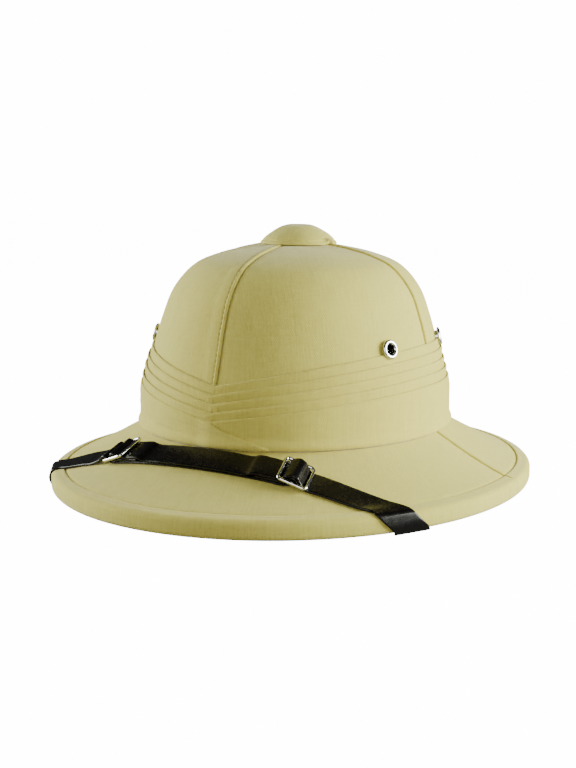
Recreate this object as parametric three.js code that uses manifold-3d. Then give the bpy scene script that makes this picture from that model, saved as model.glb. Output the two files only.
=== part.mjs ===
// Pith helmet with a pleated cloth band, vent cap, eyelets and a black chin strap with two metal slides.
// Millimetres, +Z up. The front of the helmet faces -Y and the wearer's left is +X.
// The origin is on the ground under the middle of the helmet, which stands on its rim.
// An angle on the helmet counts from the front, positive toward +X.

import * as THREE from 'three';
import { mergeVertices } from 'three/addons/utils/BufferGeometryUtils.js';
import Module from 'manifold-3d';

const wasm = await Module();
wasm.setup();

// Driving dimensions: brim
const BRIM_LENGTH = 350;
const BRIM_WIDTH = 300;
const RIM_HEIGHT = 11.6;
const RIM_ROUND = 4;
const EDGE_ROUND = 3;
const HEM_WIDTH = 8;
const BRIM_SWEEP = 1.22;
const BRIM_ROOT_THICKNESS = 6.5;

// Driving dimensions: crown, measured up from the underside of the rim
const CROWN_LENGTH = 221;
const CROWN_WIDTH = 193;
const FOOT_HEIGHT = 36.7;
const DOME_HEIGHT = 153.3;
const SHELL_WALL = 5;
const CLOTH = 1;
const GAP = 0.3;
const SIDE_SEAM_ANGLE = 92;
const SEAM_LIP_WIDTH = 3;
const SEAM_LIP_HEIGHT = 0.6;
const VENT_RADIUS = 8.7;
const PANEL_END_RADIUS = 12.2;

// Driving dimensions: pleated band
const BAND_TOP_SIDE = 92;
const BAND_TOP_FRONT = 73.3;
const BAND_DIP_POWER = 1.75;
const PLEAT_COUNT = 5;
const PLEAT_STEP_SIDE = 6;
const PLEAT_STEP_FRONT = 5.15;
const PLEAT_TREAD = 0.35;
const PLEAT_RISE = 0.95;
const PLEAT_SPREAD = 0.1;
const BAND_CLOTH = 1.1;
const BAND_SWELL = 1.2;
const BAND_GAP = 0.45;
const LAP_ANGLE = 21;
const LAP_TOP = 50;
const LAP_RAMP_ANGLE = 8;
const LAP_LIFT = 2.9;
const BAND_TUCK = 4;
const PANEL_CLEAR = 1.5;

// Driving dimensions: vent cap and its collar
const CAP_RADIUS = 25;
const CAP_HEIGHT = 12.1;
const CAP_TURN = -10;
const CAP_NOTCH_ANGLE = 20;
const CAP_NOTCH_HEIGHT = 3;
const COLLAR_RADIUS = 7.4;
const COLLAR_BORE = 5.4;
const COLLAR_FLANGE = 1.2;

// Driving dimensions: eyelets
const EYELET_ANGLES = [66.5, 111];
const EYELET_HEIGHT = 92.4;
const EYELET_RADIUS = 6;
const EYELET_HOLE = 3.25;
const EYELET_BARREL = 4;
const EYELET_FLANGE = 1.3;
const EYELET_REACH = 1.3;

// Driving dimensions: chin strap and slides
const STRAP_WIDTH = 17.5;
const STRAP_THICKNESS = 1.4;
const STRAP_GAP = 0.5;
const WRAP_GAP = 0.45;
const SLIDE_WIRE = 2;
const SLIDE_PITCH = 8.1;
const SLIDE_CORNER = 2;
const RIGHT_SLIDE_SHARE = 0.295;
const LEFT_SLIDE_SHARE = 0.703;
const LEFT_TIP_LENGTH = 22;
const RIGHT_TIP_LENGTH = 18;
const RIVET_HEAD = 4;
const RIVET_SHANK = 1.6;
const RIVET_THICKNESS = 1.2;

// How finely the round forms are divided
const FRONT_STATIONS = 11;
const REAR_STATIONS = 10;
const LOWER_ROWS = [0.05, 0.35, 0.68];
const UPPER_ROWS = 5;
const BRIM_ROWS = [0.35, 0.65, 0.87, 1];
const CAP_SEGMENTS = 20;
const COLLAR_SEGMENTS = 12;
const EYELET_SEGMENTS = 10;
const RIVET_SEGMENTS = 8;
const WIRE_SIDES = 6;
const LONGEST_STRAP_STEP = 14;
const HIDDEN_STEPS = 9;
const SEARCH_STEPS = 36;

// The band's plain lower half: up is above the foot, swell is what it stands out beyond its own cloth
const BASE_FOLD = [
  { up: 0.3, swell: 0.6 },
  { up: 2.4, swell: 1.8 },
  { up: 5.2, swell: 1.2 },
];

// The lap at the front: share of the lap's angle
const LAP_STATIONS = [0.12, 0.55, 1];

// The crown's outline: out is a share of the base's half breadth, up is a share of the crown's height
const CROWN_OUTLINE = [
  { out: 1, up: 0 },
  { out: 0.99, up: 0.207 },
  { out: 0.932, up: 0.413 },
  { out: 0.872, up: 0.599 },
  { out: 0.797, up: 0.754 },
  { out: 0.668, up: 0.875 },
  { out: 0.515, up: 0.9325 },
  { out: 0.375, up: 0.962 },
  { out: 0.24, up: 0.981 },
  { out: 0, up: 1 },
];

// The vent cap's section: out is a share of its radius, up is a share of its height
const CAP_OUTER = [
  { out: 0, up: 0.96 },
  { out: 0.17, up: 1 },
  { out: 0.36, up: 0.965 },
  { out: 0.6, up: 0.74 },
  { out: 0.8, up: 0.46 },
  { out: 0.94, up: 0.2 },
  { out: 1, up: 0 },
];
const CAP_INNER = [
  { out: 0.88, up: 0.06 },
  { out: 0.7, up: 0.36 },
  { out: 0.5, up: 0.57 },
  { out: 0, up: 0.6 },
];

// The chin strap's middle line over the brim, seen from above:
// across and forward are shares of the brim's half width and half length
const STRAP_ROUTE = [
  { across: -0.95, forward: 0.574 },
  { across: -0.79, forward: 0.594 },
  { across: -0.62, forward: 0.609 },
  { across: -0.45, forward: 0.641 },
  { across: -0.3, forward: 0.67 },
  { across: -0.15, forward: 0.692 },
  { across: 0, forward: 0.7 },
  { across: 0.15, forward: 0.696 },
  { across: 0.3, forward: 0.679 },
  { across: 0.45, forward: 0.657 },
  { across: 0.62, forward: 0.636 },
  { across: 0.79, forward: 0.612 },
  { across: 0.95, forward: 0.588 },
];

// The strap's hidden stretch on one side: across and back are shares of the crown's half breadths,
// up is a share of the foot's height and turn a share of the turn from lying flat to standing upright
const HIDDEN_ROUTE = [
  { across: 1.11, back: -0.53, up: 0.07, turn: 0.2 },
  { across: 0.98, back: -0.27, up: 0.24, turn: 0.55 },
];

// The strap under the hem: how far its inner and outer edges have run, as shares of its width,
// and how far both have passed the hem, as a share of the hem's depth
const HEM_STEPS = [
  { inner: 0.1, outer: 0.57, beyond: 0 },
  { inner: 0.2, outer: 1.15, beyond: 0 },
  { inner: 0.2, outer: 1.15, beyond: 1.4 },
];

// The strap round the rim: turn is the slope of the rim there, drift a share of the strap's sideways run
const RIM_TURNS = [
  { corner: 'top', turn: 45, drift: 0.1 },
  { corner: 'top', turn: 0, drift: 0.35 },
  { corner: 'bottom', turn: 0, drift: 0.7 },
  { corner: 'bottom', turn: -45, drift: 0.9 },
  { corner: 'bottom', turn: -90, drift: 1 },
];
const RIM_DRIFT = 5;

// The strap's end inside the crown
const TAB_ANGLE = 88;
const TAB_LEAN = 56;
const TAB_LENGTH = 16;
const TAB_HEIGHT = 0.98;
const PIN_BORE_DEPTH = 14;
const BORE_REACH = 4;

// Sizes that follow from the driving dimensions
const BRIM_HALF_WIDTH = BRIM_WIDTH / 2;
const BRIM_HALF_LENGTH = BRIM_LENGTH / 2;
const CROWN_HALF_WIDTH = CROWN_WIDTH / 2;
const CROWN_HALF_LENGTH = CROWN_LENGTH / 2;
const RIM_BOTTOM = STRAP_THICKNESS + STRAP_GAP;
const RIM_TOP = RIM_BOTTOM + RIM_HEIGHT;
const FOOT = RIM_BOTTOM + FOOT_HEIGHT;
const DOME_TOP = RIM_BOTTOM + DOME_HEIGHT;
const COVER_DEPTH = CLOTH + GAP;

const degrees = (angle) => (angle * Math.PI) / 180;
const mix = (from, to, share) => from + (to - from) * share;
const clamp = (value, low, high) => Math.min(Math.max(value, low), high);
const range = (count) => Array.from({ length: count }, (unused, index) => index);

// Materials
const clothMaterial = (color) => new THREE.MeshStandardMaterial({ color, roughness: 0.9, metalness: 0 });
const COVER_CLOTH = clothMaterial(0xb5ab72);
const BAND_CLOTH_COLOUR = clothMaterial(0xb1a66c);
const SHELL_FIBRE = new THREE.MeshStandardMaterial({ color: 0xcdbf95, roughness: 0.95, metalness: 0 });
const LEATHER = new THREE.MeshStandardMaterial({ color: 0x110e0d, roughness: 0.28, metalness: 0 });
const CHROME = new THREE.MeshStandardMaterial({ color: 0xd6d8d6, roughness: 0.15, metalness: 1 });

const helmet = new THREE.Group();
helmet.name = 'pith_helmet';

function addPiece(name, geometry, material) {
  geometry.computeVertexNormals();
  const mesh = new THREE.Mesh(geometry, material);
  mesh.name = name;
  helmet.add(mesh);
  return mesh;
}

// Six times the volume that the triangles enclose, negative where they face in
function signedVolume(positions, index) {
  const a = new THREE.Vector3();
  const b = new THREE.Vector3();
  const c = new THREE.Vector3();
  let total = 0;
  for (let k = 0; k < index.length; k += 3) {
    a.fromArray(positions, index[k] * 3);
    b.fromArray(positions, index[k + 1] * 3);
    c.fromArray(positions, index[k + 2] * 3);
    total += a.dot(b.cross(c));
  }
  return total;
}

// The triangles that close one end loop, turned the same way as the loop
function endTriangles(loop) {
  const normal = new THREE.Vector3();
  loop.forEach((point, k) => {
    const next = loop[(k + 1) % loop.length];
    normal.add(point.clone().cross(next));
  });
  normal.normalize();
  const first = loop[1].clone().sub(loop[0]);
  first.addScaledVector(normal, -first.dot(normal)).normalize();
  const second = normal.clone().cross(first);
  const flat = loop.map((point) => new THREE.Vector2(point.dot(first), point.dot(second)));
  return THREE.ShapeUtils.triangulateShape(flat, []).map((face) => {
    const [a, b, c] = face.map((k) => flat[k]);
    const area = b.clone().sub(a).cross(c.clone().sub(a));
    return area > 0 ? face : [face[0], face[2], face[1]];
  });
}

// A closed body through a row of like loops, which runs right round or is closed at both ends.
// Each four-sided patch is split along its shorter diagonal, so that the faces of a thin wall stay level.
function loft(sections, around = false) {
  const size = sections[0].length;
  const points = sections.flat();
  const positions = points.flatMap((point) => [point.x, point.y, point.z]);
  const index = [];
  const spans = around ? sections.length : sections.length - 1;
  for (const i of range(spans)) {
    for (const j of range(size)) {
      const a = i * size + j;
      const b = i * size + ((j + 1) % size);
      const c = ((i + 1) % sections.length) * size + ((j + 1) % size);
      const d = ((i + 1) % sections.length) * size + j;
      const across = points[a].distanceTo(points[c]) < points[b].distanceTo(points[d]) + 1e-6;
      index.push(...(across ? [a, b, c, a, c, d] : [a, b, d, b, c, d]));
    }
  }
  if (!around) {
    const last = (sections.length - 1) * size;
    for (const [a, b, c] of endTriangles(sections[0])) index.push(a, c, b);
    for (const [a, b, c] of endTriangles(sections.at(-1))) index.push(last + a, last + b, last + c);
  }
  if (signedVolume(positions, index) < 0) {
    for (let k = 0; k < index.length; k += 3) [index[k + 1], index[k + 2]] = [index[k + 2], index[k + 1]];
  }
  const geometry = new THREE.BufferGeometry();
  geometry.setAttribute('position', new THREE.Float32BufferAttribute(positions, 3));
  geometry.setIndex(index);
  return geometry;
}

// A turned body from its section, given as pairs of radius and height in either order
function turned(section, segments) {
  const points = section.map(([radius, height]) => new THREE.Vector2(radius, height));
  const area = points.reduce((sum, point, k) => sum + point.cross(points[(k + 1) % points.length]), 0);
  return new THREE.LatheGeometry(area > 0 ? points : points.reverse(), segments);
}

// Cuts and joins between closed bodies
function toSolid(geometry) {
  const bare = geometry.clone();
  bare.deleteAttribute('normal');
  bare.deleteAttribute('uv');
  const merged = mergeVertices(bare);
  const vertProperties = new Float32Array(merged.attributes.position.array);
  const triVerts = new Uint32Array(merged.index.array);
  return new wasm.Manifold(new wasm.Mesh({ numProp: 3, vertProperties, triVerts }));
}

function fromSolid(solid) {
  const mesh = solid.getMesh();
  const geometry = new THREE.BufferGeometry();
  geometry.setAttribute('position', new THREE.BufferAttribute(mesh.vertProperties, 3));
  geometry.setIndex(new THREE.BufferAttribute(mesh.triVerts, 1));
  return geometry;
}

// The place between two limits up to which a test holds
function turningPoint(low, high, holds) {
  let inside = low;
  let outside = high;
  for (let k = 0; k < SEARCH_STEPS; k += 1) {
    const middle = (inside + outside) / 2;
    if (holds(middle)) inside = middle;
    else outside = middle;
  }
  return (inside + outside) / 2;
}

// The crown's outline in millimetres, as a smooth curve with its length as the measure
const outlineCurve = new THREE.CatmullRomCurve3(
  CROWN_OUTLINE.map(({ out, up }) => new THREE.Vector3(out * CROWN_HALF_WIDTH, mix(FOOT, DOME_TOP, up), 0)),
);
outlineCurve.arcLengthDivisions = 600;

const outlineShare = (height) => turningPoint(0, 1, (share) => outlineCurve.getPointAt(share).y < height);
const outlineShareAtRadius = (radius) =>
  turningPoint(0.5, 1, (share) => outlineCurve.getPointAt(share).x > radius);

const VENT_SHARE = outlineShareAtRadius(VENT_RADIUS);
const PANEL_END_SHARE = outlineShareAtRadius(PANEL_END_RADIUS);

// A point on the crown's cloth, a share of the way along its outline, moved out by lift
function crownBase(share, angle) {
  const { x, y } = outlineCurve.getPointAt(clamp(share, 0, 1));
  const out = x / CROWN_HALF_WIDTH;
  return new THREE.Vector3(
    out * CROWN_HALF_WIDTH * Math.sin(degrees(angle)),
    -out * CROWN_HALF_LENGTH * Math.cos(degrees(angle)),
    y,
  );
}

function crownNormal(share, angle) {
  const small = 0.004;
  const rise = crownBase(share + small, angle).sub(crownBase(share - small, angle));
  const turn = crownBase(share, angle + 0.2).sub(crownBase(share, angle - 0.2));
  return turn.cross(rise).normalize();
}

function crownPoint(share, angle, lift) {
  return crownBase(share, angle).addScaledVector(crownNormal(share, angle), lift);
}

// A point on the crown at a height, moved straight out from the wall by lift
function wallPoint(height, angle, lift) {
  const { x } = outlineCurve.getPointAt(outlineShare(height));
  const out = x / CROWN_HALF_WIDTH;
  return new THREE.Vector3(
    (out * CROWN_HALF_WIDTH + lift) * Math.sin(degrees(angle)),
    -(out * CROWN_HALF_LENGTH + lift) * Math.cos(degrees(angle)),
    height,
  );
}

// A point on the brim's cloth, share 0 at the crown's foot and 1 where the rim's rounding starts
function brimOval(share) {
  return {
    halfWidth: mix(CROWN_HALF_WIDTH, BRIM_HALF_WIDTH - RIM_ROUND, share),
    halfLength: mix(CROWN_HALF_LENGTH, BRIM_HALF_LENGTH - RIM_ROUND, share),
  };
}

function brimBase(share, angle) {
  const { halfWidth, halfLength } = brimOval(share);
  const height = RIM_TOP + (FOOT - RIM_TOP) * clamp(1 - share, 0, 2) ** BRIM_SWEEP;
  return new THREE.Vector3(
    halfWidth * Math.sin(degrees(angle)),
    -halfLength * Math.cos(degrees(angle)),
    height,
  );
}

function brimNormal(share, angle) {
  const small = 0.01;
  const run = brimBase(share + small, angle).sub(brimBase(share - small, angle));
  const turn = brimBase(share, angle + 0.2).sub(brimBase(share, angle - 0.2));
  return run.cross(turn).normalize();
}

function brimPoint(share, angle, lift) {
  return brimBase(share, angle).addScaledVector(brimNormal(share, angle), lift);
}

// The rounded rim from its top to its underside, moved out by lift
function rimPoint(corner, turn, angle, lift) {
  const radius = corner === 'top' ? RIM_ROUND : EDGE_ROUND;
  const centreHeight = corner === 'top' ? RIM_TOP - RIM_ROUND : RIM_BOTTOM + EDGE_ROUND;
  const out = (radius + lift) * Math.cos(degrees(turn)) - radius;
  return new THREE.Vector3(
    (BRIM_HALF_WIDTH + out) * Math.sin(degrees(angle)),
    -(BRIM_HALF_LENGTH + out) * Math.cos(degrees(angle)),
    centreHeight + (radius + lift) * Math.sin(degrees(turn)),
  );
}

// The flat underside of the rim, a distance in from its edge
function rimUnderside(inset, angle, lift) {
  return new THREE.Vector3(
    (BRIM_HALF_WIDTH - inset) * Math.sin(degrees(angle)),
    -(BRIM_HALF_LENGTH - inset) * Math.cos(degrees(angle)),
    RIM_BOTTOM - lift,
  );
}

// The angles that every layer shares, so that flat facets lie over flat facets
const frontAngles = range(FRONT_STATIONS + 1).map((k) => (SIDE_SEAM_ANGLE * k) / FRONT_STATIONS);
const rearAngles = range(REAR_STATIONS + 1).map((k) => mix(SIDE_SEAM_ANGLE, 180, k / REAR_STATIONS));
const halfAngles = [...frontAngles, ...rearAngles.slice(1)];
const allAngles = [...halfAngles.slice(0, -1), ...halfAngles.slice(1).map((angle) => 360 - angle).reverse()];
const around180 = (angle) => (angle > 180 ? 360 - angle : angle);

// Heights of the band's folded edges, fold 0 at the top
function foldHeight(fold, angle) {
  const dip = clamp(1 - Math.abs(around180(angle)) / 90, 0, 1) ** BAND_DIP_POWER;
  const atSide = BAND_TOP_SIDE - fold * PLEAT_STEP_SIDE;
  const atFront = BAND_TOP_FRONT - fold * PLEAT_STEP_FRONT;
  return RIM_BOTTOM + mix(atSide, atFront, dip);
}

// Rows of the crown that the shell, the panels and the band share, as shares of the outline
function crownRows(angle, endShare) {
  const bandTop = foldHeight(0, angle);
  const start = outlineShare(bandTop + PANEL_CLEAR);
  const lower = LOWER_ROWS.map((share) => outlineShare(mix(FOOT, bandTop - BAND_TUCK, share)));
  const upper = range(UPPER_ROWS).map((k) => mix(start, PANEL_END_SHARE, (k + 1) / UPPER_ROWS));
  return [...lower, outlineShare(bandTop - BAND_TUCK), start, ...upper.slice(0, -1), endShare];
}

// Moulded shell: crown and brim in one, hollow below, with the vent hole on top
function shellSection(angle) {
  const rows = crownRows(angle, VENT_SHARE);
  const outerCrown = rows.map((share) => crownPoint(share, angle, -COVER_DEPTH)).reverse();
  const foot = wallPoint(FOOT, angle, -COVER_DEPTH);
  const top = [0.02, ...BRIM_ROWS].map((share) => brimPoint(share, angle, -COVER_DEPTH));
  const edge = [
    rimPoint('top', 45, angle, -COVER_DEPTH),
    rimPoint('top', 0, angle, -COVER_DEPTH),
    rimPoint('bottom', 0, angle, -COVER_DEPTH),
    rimPoint('bottom', -90, angle, -COVER_DEPTH),
    rimUnderside(HEM_WIDTH + EDGE_ROUND + GAP, angle, -COVER_DEPTH),
  ];
  const underside = [
    { share: 0.7, core: RIM_HEIGHT - 2 * COVER_DEPTH },
    { share: 0.35, core: mix(BRIM_ROOT_THICKNESS, RIM_HEIGHT - 2 * COVER_DEPTH, 0.4) },
    { share: 0, core: BRIM_ROOT_THICKNESS },
  ].map(({ share, core }) => brimPoint(share, angle, -COVER_DEPTH - core));
  const inner = [rows[1], rows[4], ...rows.slice(6)].map((share) =>
    crownPoint(share, angle, -COVER_DEPTH - SHELL_WALL),
  );
  return [...outerCrown, foot, ...top, ...edge, ...underside, ...inner];
}

// Cloth panels of the crown, with a low lip along each seam above the band
function panelSection(angle, shift, lipShare) {
  const rows = crownRows(angle, PANEL_END_SHARE);
  const along = crownBase(0.1, angle + 0.5).sub(crownBase(0.1, angle - 0.5)).normalize();
  const place = (share, lift) => {
    const narrow = outlineCurve.getPointAt(share).x / CROWN_HALF_WIDTH;
    const slide = shift * clamp(narrow * 2, 0.12, 1);
    return crownPoint(share, angle, lift).addScaledVector(along, slide);
  };
  const outer = rows.map((share, k) => place(share, k > 4 ? lipShare * SEAM_LIP_HEIGHT : 0));
  const inner = rows.map((share) => place(share, -CLOTH)).reverse();
  return [...outer, ...inner];
}

function crownPanel(angles) {
  const first = angles[0];
  const last = angles.at(-1);
  const sections = [
    panelSection(first, GAP / 2, 1),
    panelSection(first, SEAM_LIP_WIDTH, 1),
    panelSection(first, SEAM_LIP_WIDTH + SEAM_LIP_HEIGHT, 0),
    ...angles.slice(1, -1).map((angle) => panelSection(angle, 0, 0)),
    panelSection(last, -SEAM_LIP_WIDTH - SEAM_LIP_HEIGHT, 0),
    panelSection(last, -SEAM_LIP_WIDTH, 1),
    panelSection(last, -GAP / 2, 1),
  ];
  return loft(sections);
}

// Cloth cover of the brim: over the top, round the rim and under it as far as the hem
function brimCoverSection(angle, shift) {
  const start = (GAP + 0.2) / (BRIM_HALF_WIDTH - RIM_ROUND - CROWN_HALF_WIDTH);
  const layer = (lift) => [
    ...[start, ...BRIM_ROWS].map((share) => brimPoint(share, angle, lift)),
    rimPoint('top', 45, angle, lift),
    rimPoint('top', 0, angle, lift),
    rimPoint('bottom', 0, angle, lift),
    rimPoint('bottom', -45, angle, lift),
    rimPoint('bottom', -90, angle, lift),
    rimUnderside(HEM_WIDTH + EDGE_ROUND, angle, lift),
  ];
  const along = brimBase(0.5, angle + 0.5).sub(brimBase(0.5, angle - 0.5)).normalize();
  return [...layer(0), ...layer(-CLOTH).reverse()].map((point) => point.addScaledVector(along, shift));
}

function brimCover(angles) {
  const last = angles.length - 1;
  const shiftOf = (k) => (k === 0 ? GAP / 2 : k === last ? -GAP / 2 : 0);
  return loft(angles.map((angle, k) => brimCoverSection(angle, shiftOf(k))));
}

// Pleated band: a plain lower half and stepped pleats above, each lower fold lying further out
function bandOuter(angle) {
  const lowest = PLEAT_COUNT - 1;
  const plainTop = foldHeight(lowest, angle);
  const rows = BASE_FOLD.map(({ up, swell }) => ({ height: FOOT + up, lift: BAND_CLOTH + swell }));
  rows.push({ height: mix(FOOT, plainTop, 0.55), lift: BAND_CLOTH + BAND_SWELL / 2 });
  for (const fold of range(PLEAT_COUNT).reverse()) {
    const height = foldHeight(fold, angle);
    const low = BAND_CLOTH + PLEAT_SPREAD * fold;
    const high = fold === 0 ? BAND_CLOTH + BAND_GAP : low + PLEAT_RISE;
    rows.push({ height, lift: high });
    if (fold > 0) rows.push({ height: height + PLEAT_TREAD, lift: low });
  }
  return rows;
}

function bandSection(angle, side, extraLift, topShare, cutTop) {
  const signed = side * angle;
  const squeeze = (height) => mix(FOOT, height, topShare);
  const top = foldHeight(0, angle);
  const outer = bandOuter(angle).map(({ height, lift }) => {
    const flat = cutTop ? Math.min(lift, BAND_CLOTH + BAND_SWELL) : lift;
    return wallPoint(squeeze(height), signed, flat + extraLift);
  });
  const tuck = top - BAND_TUCK;
  const [, low, high] = LOWER_ROWS;
  const innerRows = [top, tuck, mix(FOOT, tuck, high), mix(FOOT, tuck, low), FOOT + BASE_FOLD[0].up];
  const inner = innerRows.map((height) => wallPoint(squeeze(height), signed, BAND_GAP + extraLift));
  return [...outer, ...inner];
}

// The outer wrap runs from the back to the front and laps over the inner wrap below the pleats
function innerWrap(side) {
  const sections = halfAngles.map((angle, k) => {
    const ends = k === 0 ? GAP / 8 : k === halfAngles.length - 1 ? -GAP / 8 : 0;
    return bandSection(angle + ends, side, 0, 1, false);
  });
  return loft(sections);
}

function outerWrap(side) {
  const plain = halfAngles
    .filter((angle) => angle > LAP_RAMP_ANGLE)
    .map((angle) => bandSection(angle === 180 ? 180 - GAP / 8 : angle, side, 0, 1, false));
  const lapShare = (angle) => {
    const top = RIM_BOTTOM + mix(LAP_TOP, FOOT_HEIGHT + 2, angle / LAP_ANGLE);
    return (top - FOOT) / (foldHeight(0, angle) - FOOT);
  };
  const meeting = bandSection(GAP / 8, side, LAP_LIFT, 1, false);
  const lap = LAP_STATIONS.map((share) => {
    const angle = share * LAP_ANGLE;
    return bandSection(angle, -side, LAP_LIFT, lapShare(angle), true);
  });
  return loft([...plain.reverse(), meeting, ...lap]);
}

// Vent cap: a padded dome that stands over the vent, with a notch in its hem at each side
function ventCap() {
  const hem = wallHeightAtRadius(CAP_RADIUS) + 2 * GAP;
  const section = [...CAP_OUTER, ...CAP_INNER].map(({ out, up }) => [out * CAP_RADIUS, up * CAP_HEIGHT]);
  const geometry = turned(section, CAP_SEGMENTS);
  geometry.rotateX(Math.PI / 2);
  const position = geometry.attributes.position;
  for (const k of range(position.count)) {
    const angle = Math.atan2(Math.abs(position.getY(k)), Math.abs(position.getX(k)));
    const near = clamp(1 - angle / degrees(CAP_NOTCH_ANGLE), 0, 1);
    const low = clamp(1 - position.getZ(k) / (CAP_HEIGHT * 0.3), 0, 1);
    position.setZ(k, position.getZ(k) + CAP_NOTCH_HEIGHT * near * low);
  }
  geometry.rotateZ(degrees(CAP_TURN));
  geometry.translate(0, 0, hem);
  return geometry;
}

function wallHeightAtRadius(radius) {
  return outlineCurve.getPointAt(outlineShareAtRadius((radius * CROWN_HALF_WIDTH) / CROWN_HALF_LENGTH)).y;
}

// Collar: a flanged tube through the shell's vent hole, which carries the cap
function ventCollar() {
  const capHem = wallHeightAtRadius(CAP_RADIUS) + 2 * GAP;
  const top = capHem + CAP_HEIGHT * CAP_INNER.at(-1).up - GAP;
  const seat = DOME_TOP - COVER_DEPTH + GAP;
  const flangeRadius = PANEL_END_RADIUS - 2 * GAP;
  const underside = crownPoint(VENT_SHARE, 90, -COVER_DEPTH - SHELL_WALL).z - 3 * GAP;
  const profile = [
    [COLLAR_BORE, underside - COLLAR_FLANGE],
    [flangeRadius, underside - COLLAR_FLANGE],
    [flangeRadius, underside],
    [COLLAR_RADIUS, underside],
    [COLLAR_RADIUS, seat],
    [flangeRadius, seat],
    [flangeRadius, seat + COLLAR_FLANGE],
    [COLLAR_RADIUS, seat + COLLAR_FLANGE],
    [COLLAR_RADIUS, top],
    [COLLAR_BORE, top],
    [COLLAR_BORE, underside - COLLAR_FLANGE],
  ];
  const geometry = turned(profile, COLLAR_SEGMENTS);
  geometry.rotateX(Math.PI / 2);
  return geometry;
}

// A turned body set on the crown, its axis square to the cloth there
function setOnCrown(geometry, angle, height) {
  const share = outlineShare(RIM_BOTTOM + height);
  const axis = new THREE.Vector3(0, 1, 0);
  geometry.applyQuaternion(new THREE.Quaternion().setFromUnitVectors(axis, crownNormal(share, angle)));
  const seat = crownBase(share, angle);
  geometry.translate(seat.x, seat.y, seat.z);
  return geometry;
}

function boreAt(angle, height, radius, inward, outward) {
  const cylinder = new THREE.CylinderGeometry(radius, radius, inward + outward, EYELET_SEGMENTS);
  cylinder.translate(0, (outward - inward) / 2, 0);
  return toSolid(setOnCrown(cylinder, angle, height));
}

function eyelet(angle) {
  const seat = BAND_CLOTH + 3 * GAP;
  const back = -COVER_DEPTH - SHELL_WALL - EYELET_REACH;
  const profile = [
    [EYELET_HOLE, seat + EYELET_FLANGE * 0.6],
    [EYELET_BARREL, seat + EYELET_FLANGE],
    [EYELET_RADIUS - 0.7, seat + EYELET_FLANGE],
    [EYELET_RADIUS, seat + EYELET_FLANGE * 0.4],
    [EYELET_RADIUS, seat],
    [EYELET_BARREL, seat],
    [EYELET_BARREL, back],
    [EYELET_RADIUS - 0.7, back],
    [EYELET_RADIUS - 0.7, back - EYELET_FLANGE / 2],
    [EYELET_HOLE, back - EYELET_FLANGE / 2],
    [EYELET_HOLE, seat + EYELET_FLANGE * 0.6],
  ];
  return setOnCrown(turned(profile, EYELET_SEGMENTS), angle, EYELET_HEIGHT);
}

// The chin strap's middle line over the brim, seen from above
const routeCurve = new THREE.CatmullRomCurve3(
  STRAP_ROUTE.map(
    ({ across, forward }) => new THREE.Vector3(across * BRIM_HALF_WIDTH, -forward * BRIM_HALF_LENGTH, 0),
  ),
);
const ROUTE_LENGTH = routeCurve.getLength();
const RIGHT_SLIDE = RIGHT_SLIDE_SHARE * ROUTE_LENGTH;
const LEFT_SLIDE = LEFT_SLIDE_SHARE * ROUTE_LENGTH;

// Share of the way across the brim at a point seen from above
function brimShareAt(x, y) {
  return turningPoint(-0.2, 1.3, (share) => {
    const { halfWidth, halfLength } = brimOval(share);
    return (x / halfWidth) ** 2 + (y / halfLength) ** 2 > 1;
  });
}

function brimAngleAt(x, y, share) {
  const { halfWidth, halfLength } = brimOval(share);
  return THREE.MathUtils.radToDeg(Math.atan2(x / halfWidth, -y / halfLength));
}

// A point of the strap: along its route, across its width and up from the brim's cloth
function strapPoint(along, across, height) {
  const share = clamp(along / ROUTE_LENGTH, 0, 1);
  const middle = routeCurve.getPointAt(share);
  const tangent = routeCurve.getTangentAt(share);
  const side = new THREE.Vector3(-tangent.y, tangent.x, 0);
  const probe = (distance) => {
    const spot = middle.clone().addScaledVector(side, distance);
    const spotShare = brimShareAt(spot.x, spot.y);
    return { share: spotShare, angle: brimAngleAt(spot.x, spot.y, spotShare) };
  };
  const inner = brimBase(probe(across).share, 0).z;
  const outer = brimBase(probe(-across).share, 0).z;
  const slope = (inner - outer) / (2 * Math.max(Math.abs(across), 0.01));
  const spot = probe(across / Math.hypot(1, slope));
  return brimPoint(spot.share, spot.angle, height);
}

// Middle heights of stacked layers, and of a wire that lies over them
const layerHeight = (layer) => STRAP_GAP + STRAP_THICKNESS / 2 + layer * (STRAP_THICKNESS + GAP);
const wireOver = (layers) => STRAP_GAP + layers * (STRAP_THICKNESS + GAP) - GAP + WRAP_GAP + SLIDE_WIRE / 2;
const HIGH_BAR = wireOver(3);
const LOW_BAR = wireOver(1);
const MIDDLE_BAR = (HIGH_BAR + LOW_BAR) / 2;
const BARS = {
  outer: { place: SLIDE_PITCH, height: LOW_BAR },
  middle: { place: 0, height: MIDDLE_BAR },
  inner: { place: -SLIDE_PITCH, height: HIGH_BAR },
};

// A place in the strap's lengthwise section, in a slide's own measure: along is positive toward the rim
function aroundBar(bar, turn, ring) {
  const { place, height } = BARS[bar];
  const radius = SLIDE_WIRE / 2 + WRAP_GAP + STRAP_THICKNESS / 2 + ring * (STRAP_THICKNESS + GAP);
  return [place + radius * Math.cos(degrees(turn)), height + radius * Math.sin(degrees(turn))];
}

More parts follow.
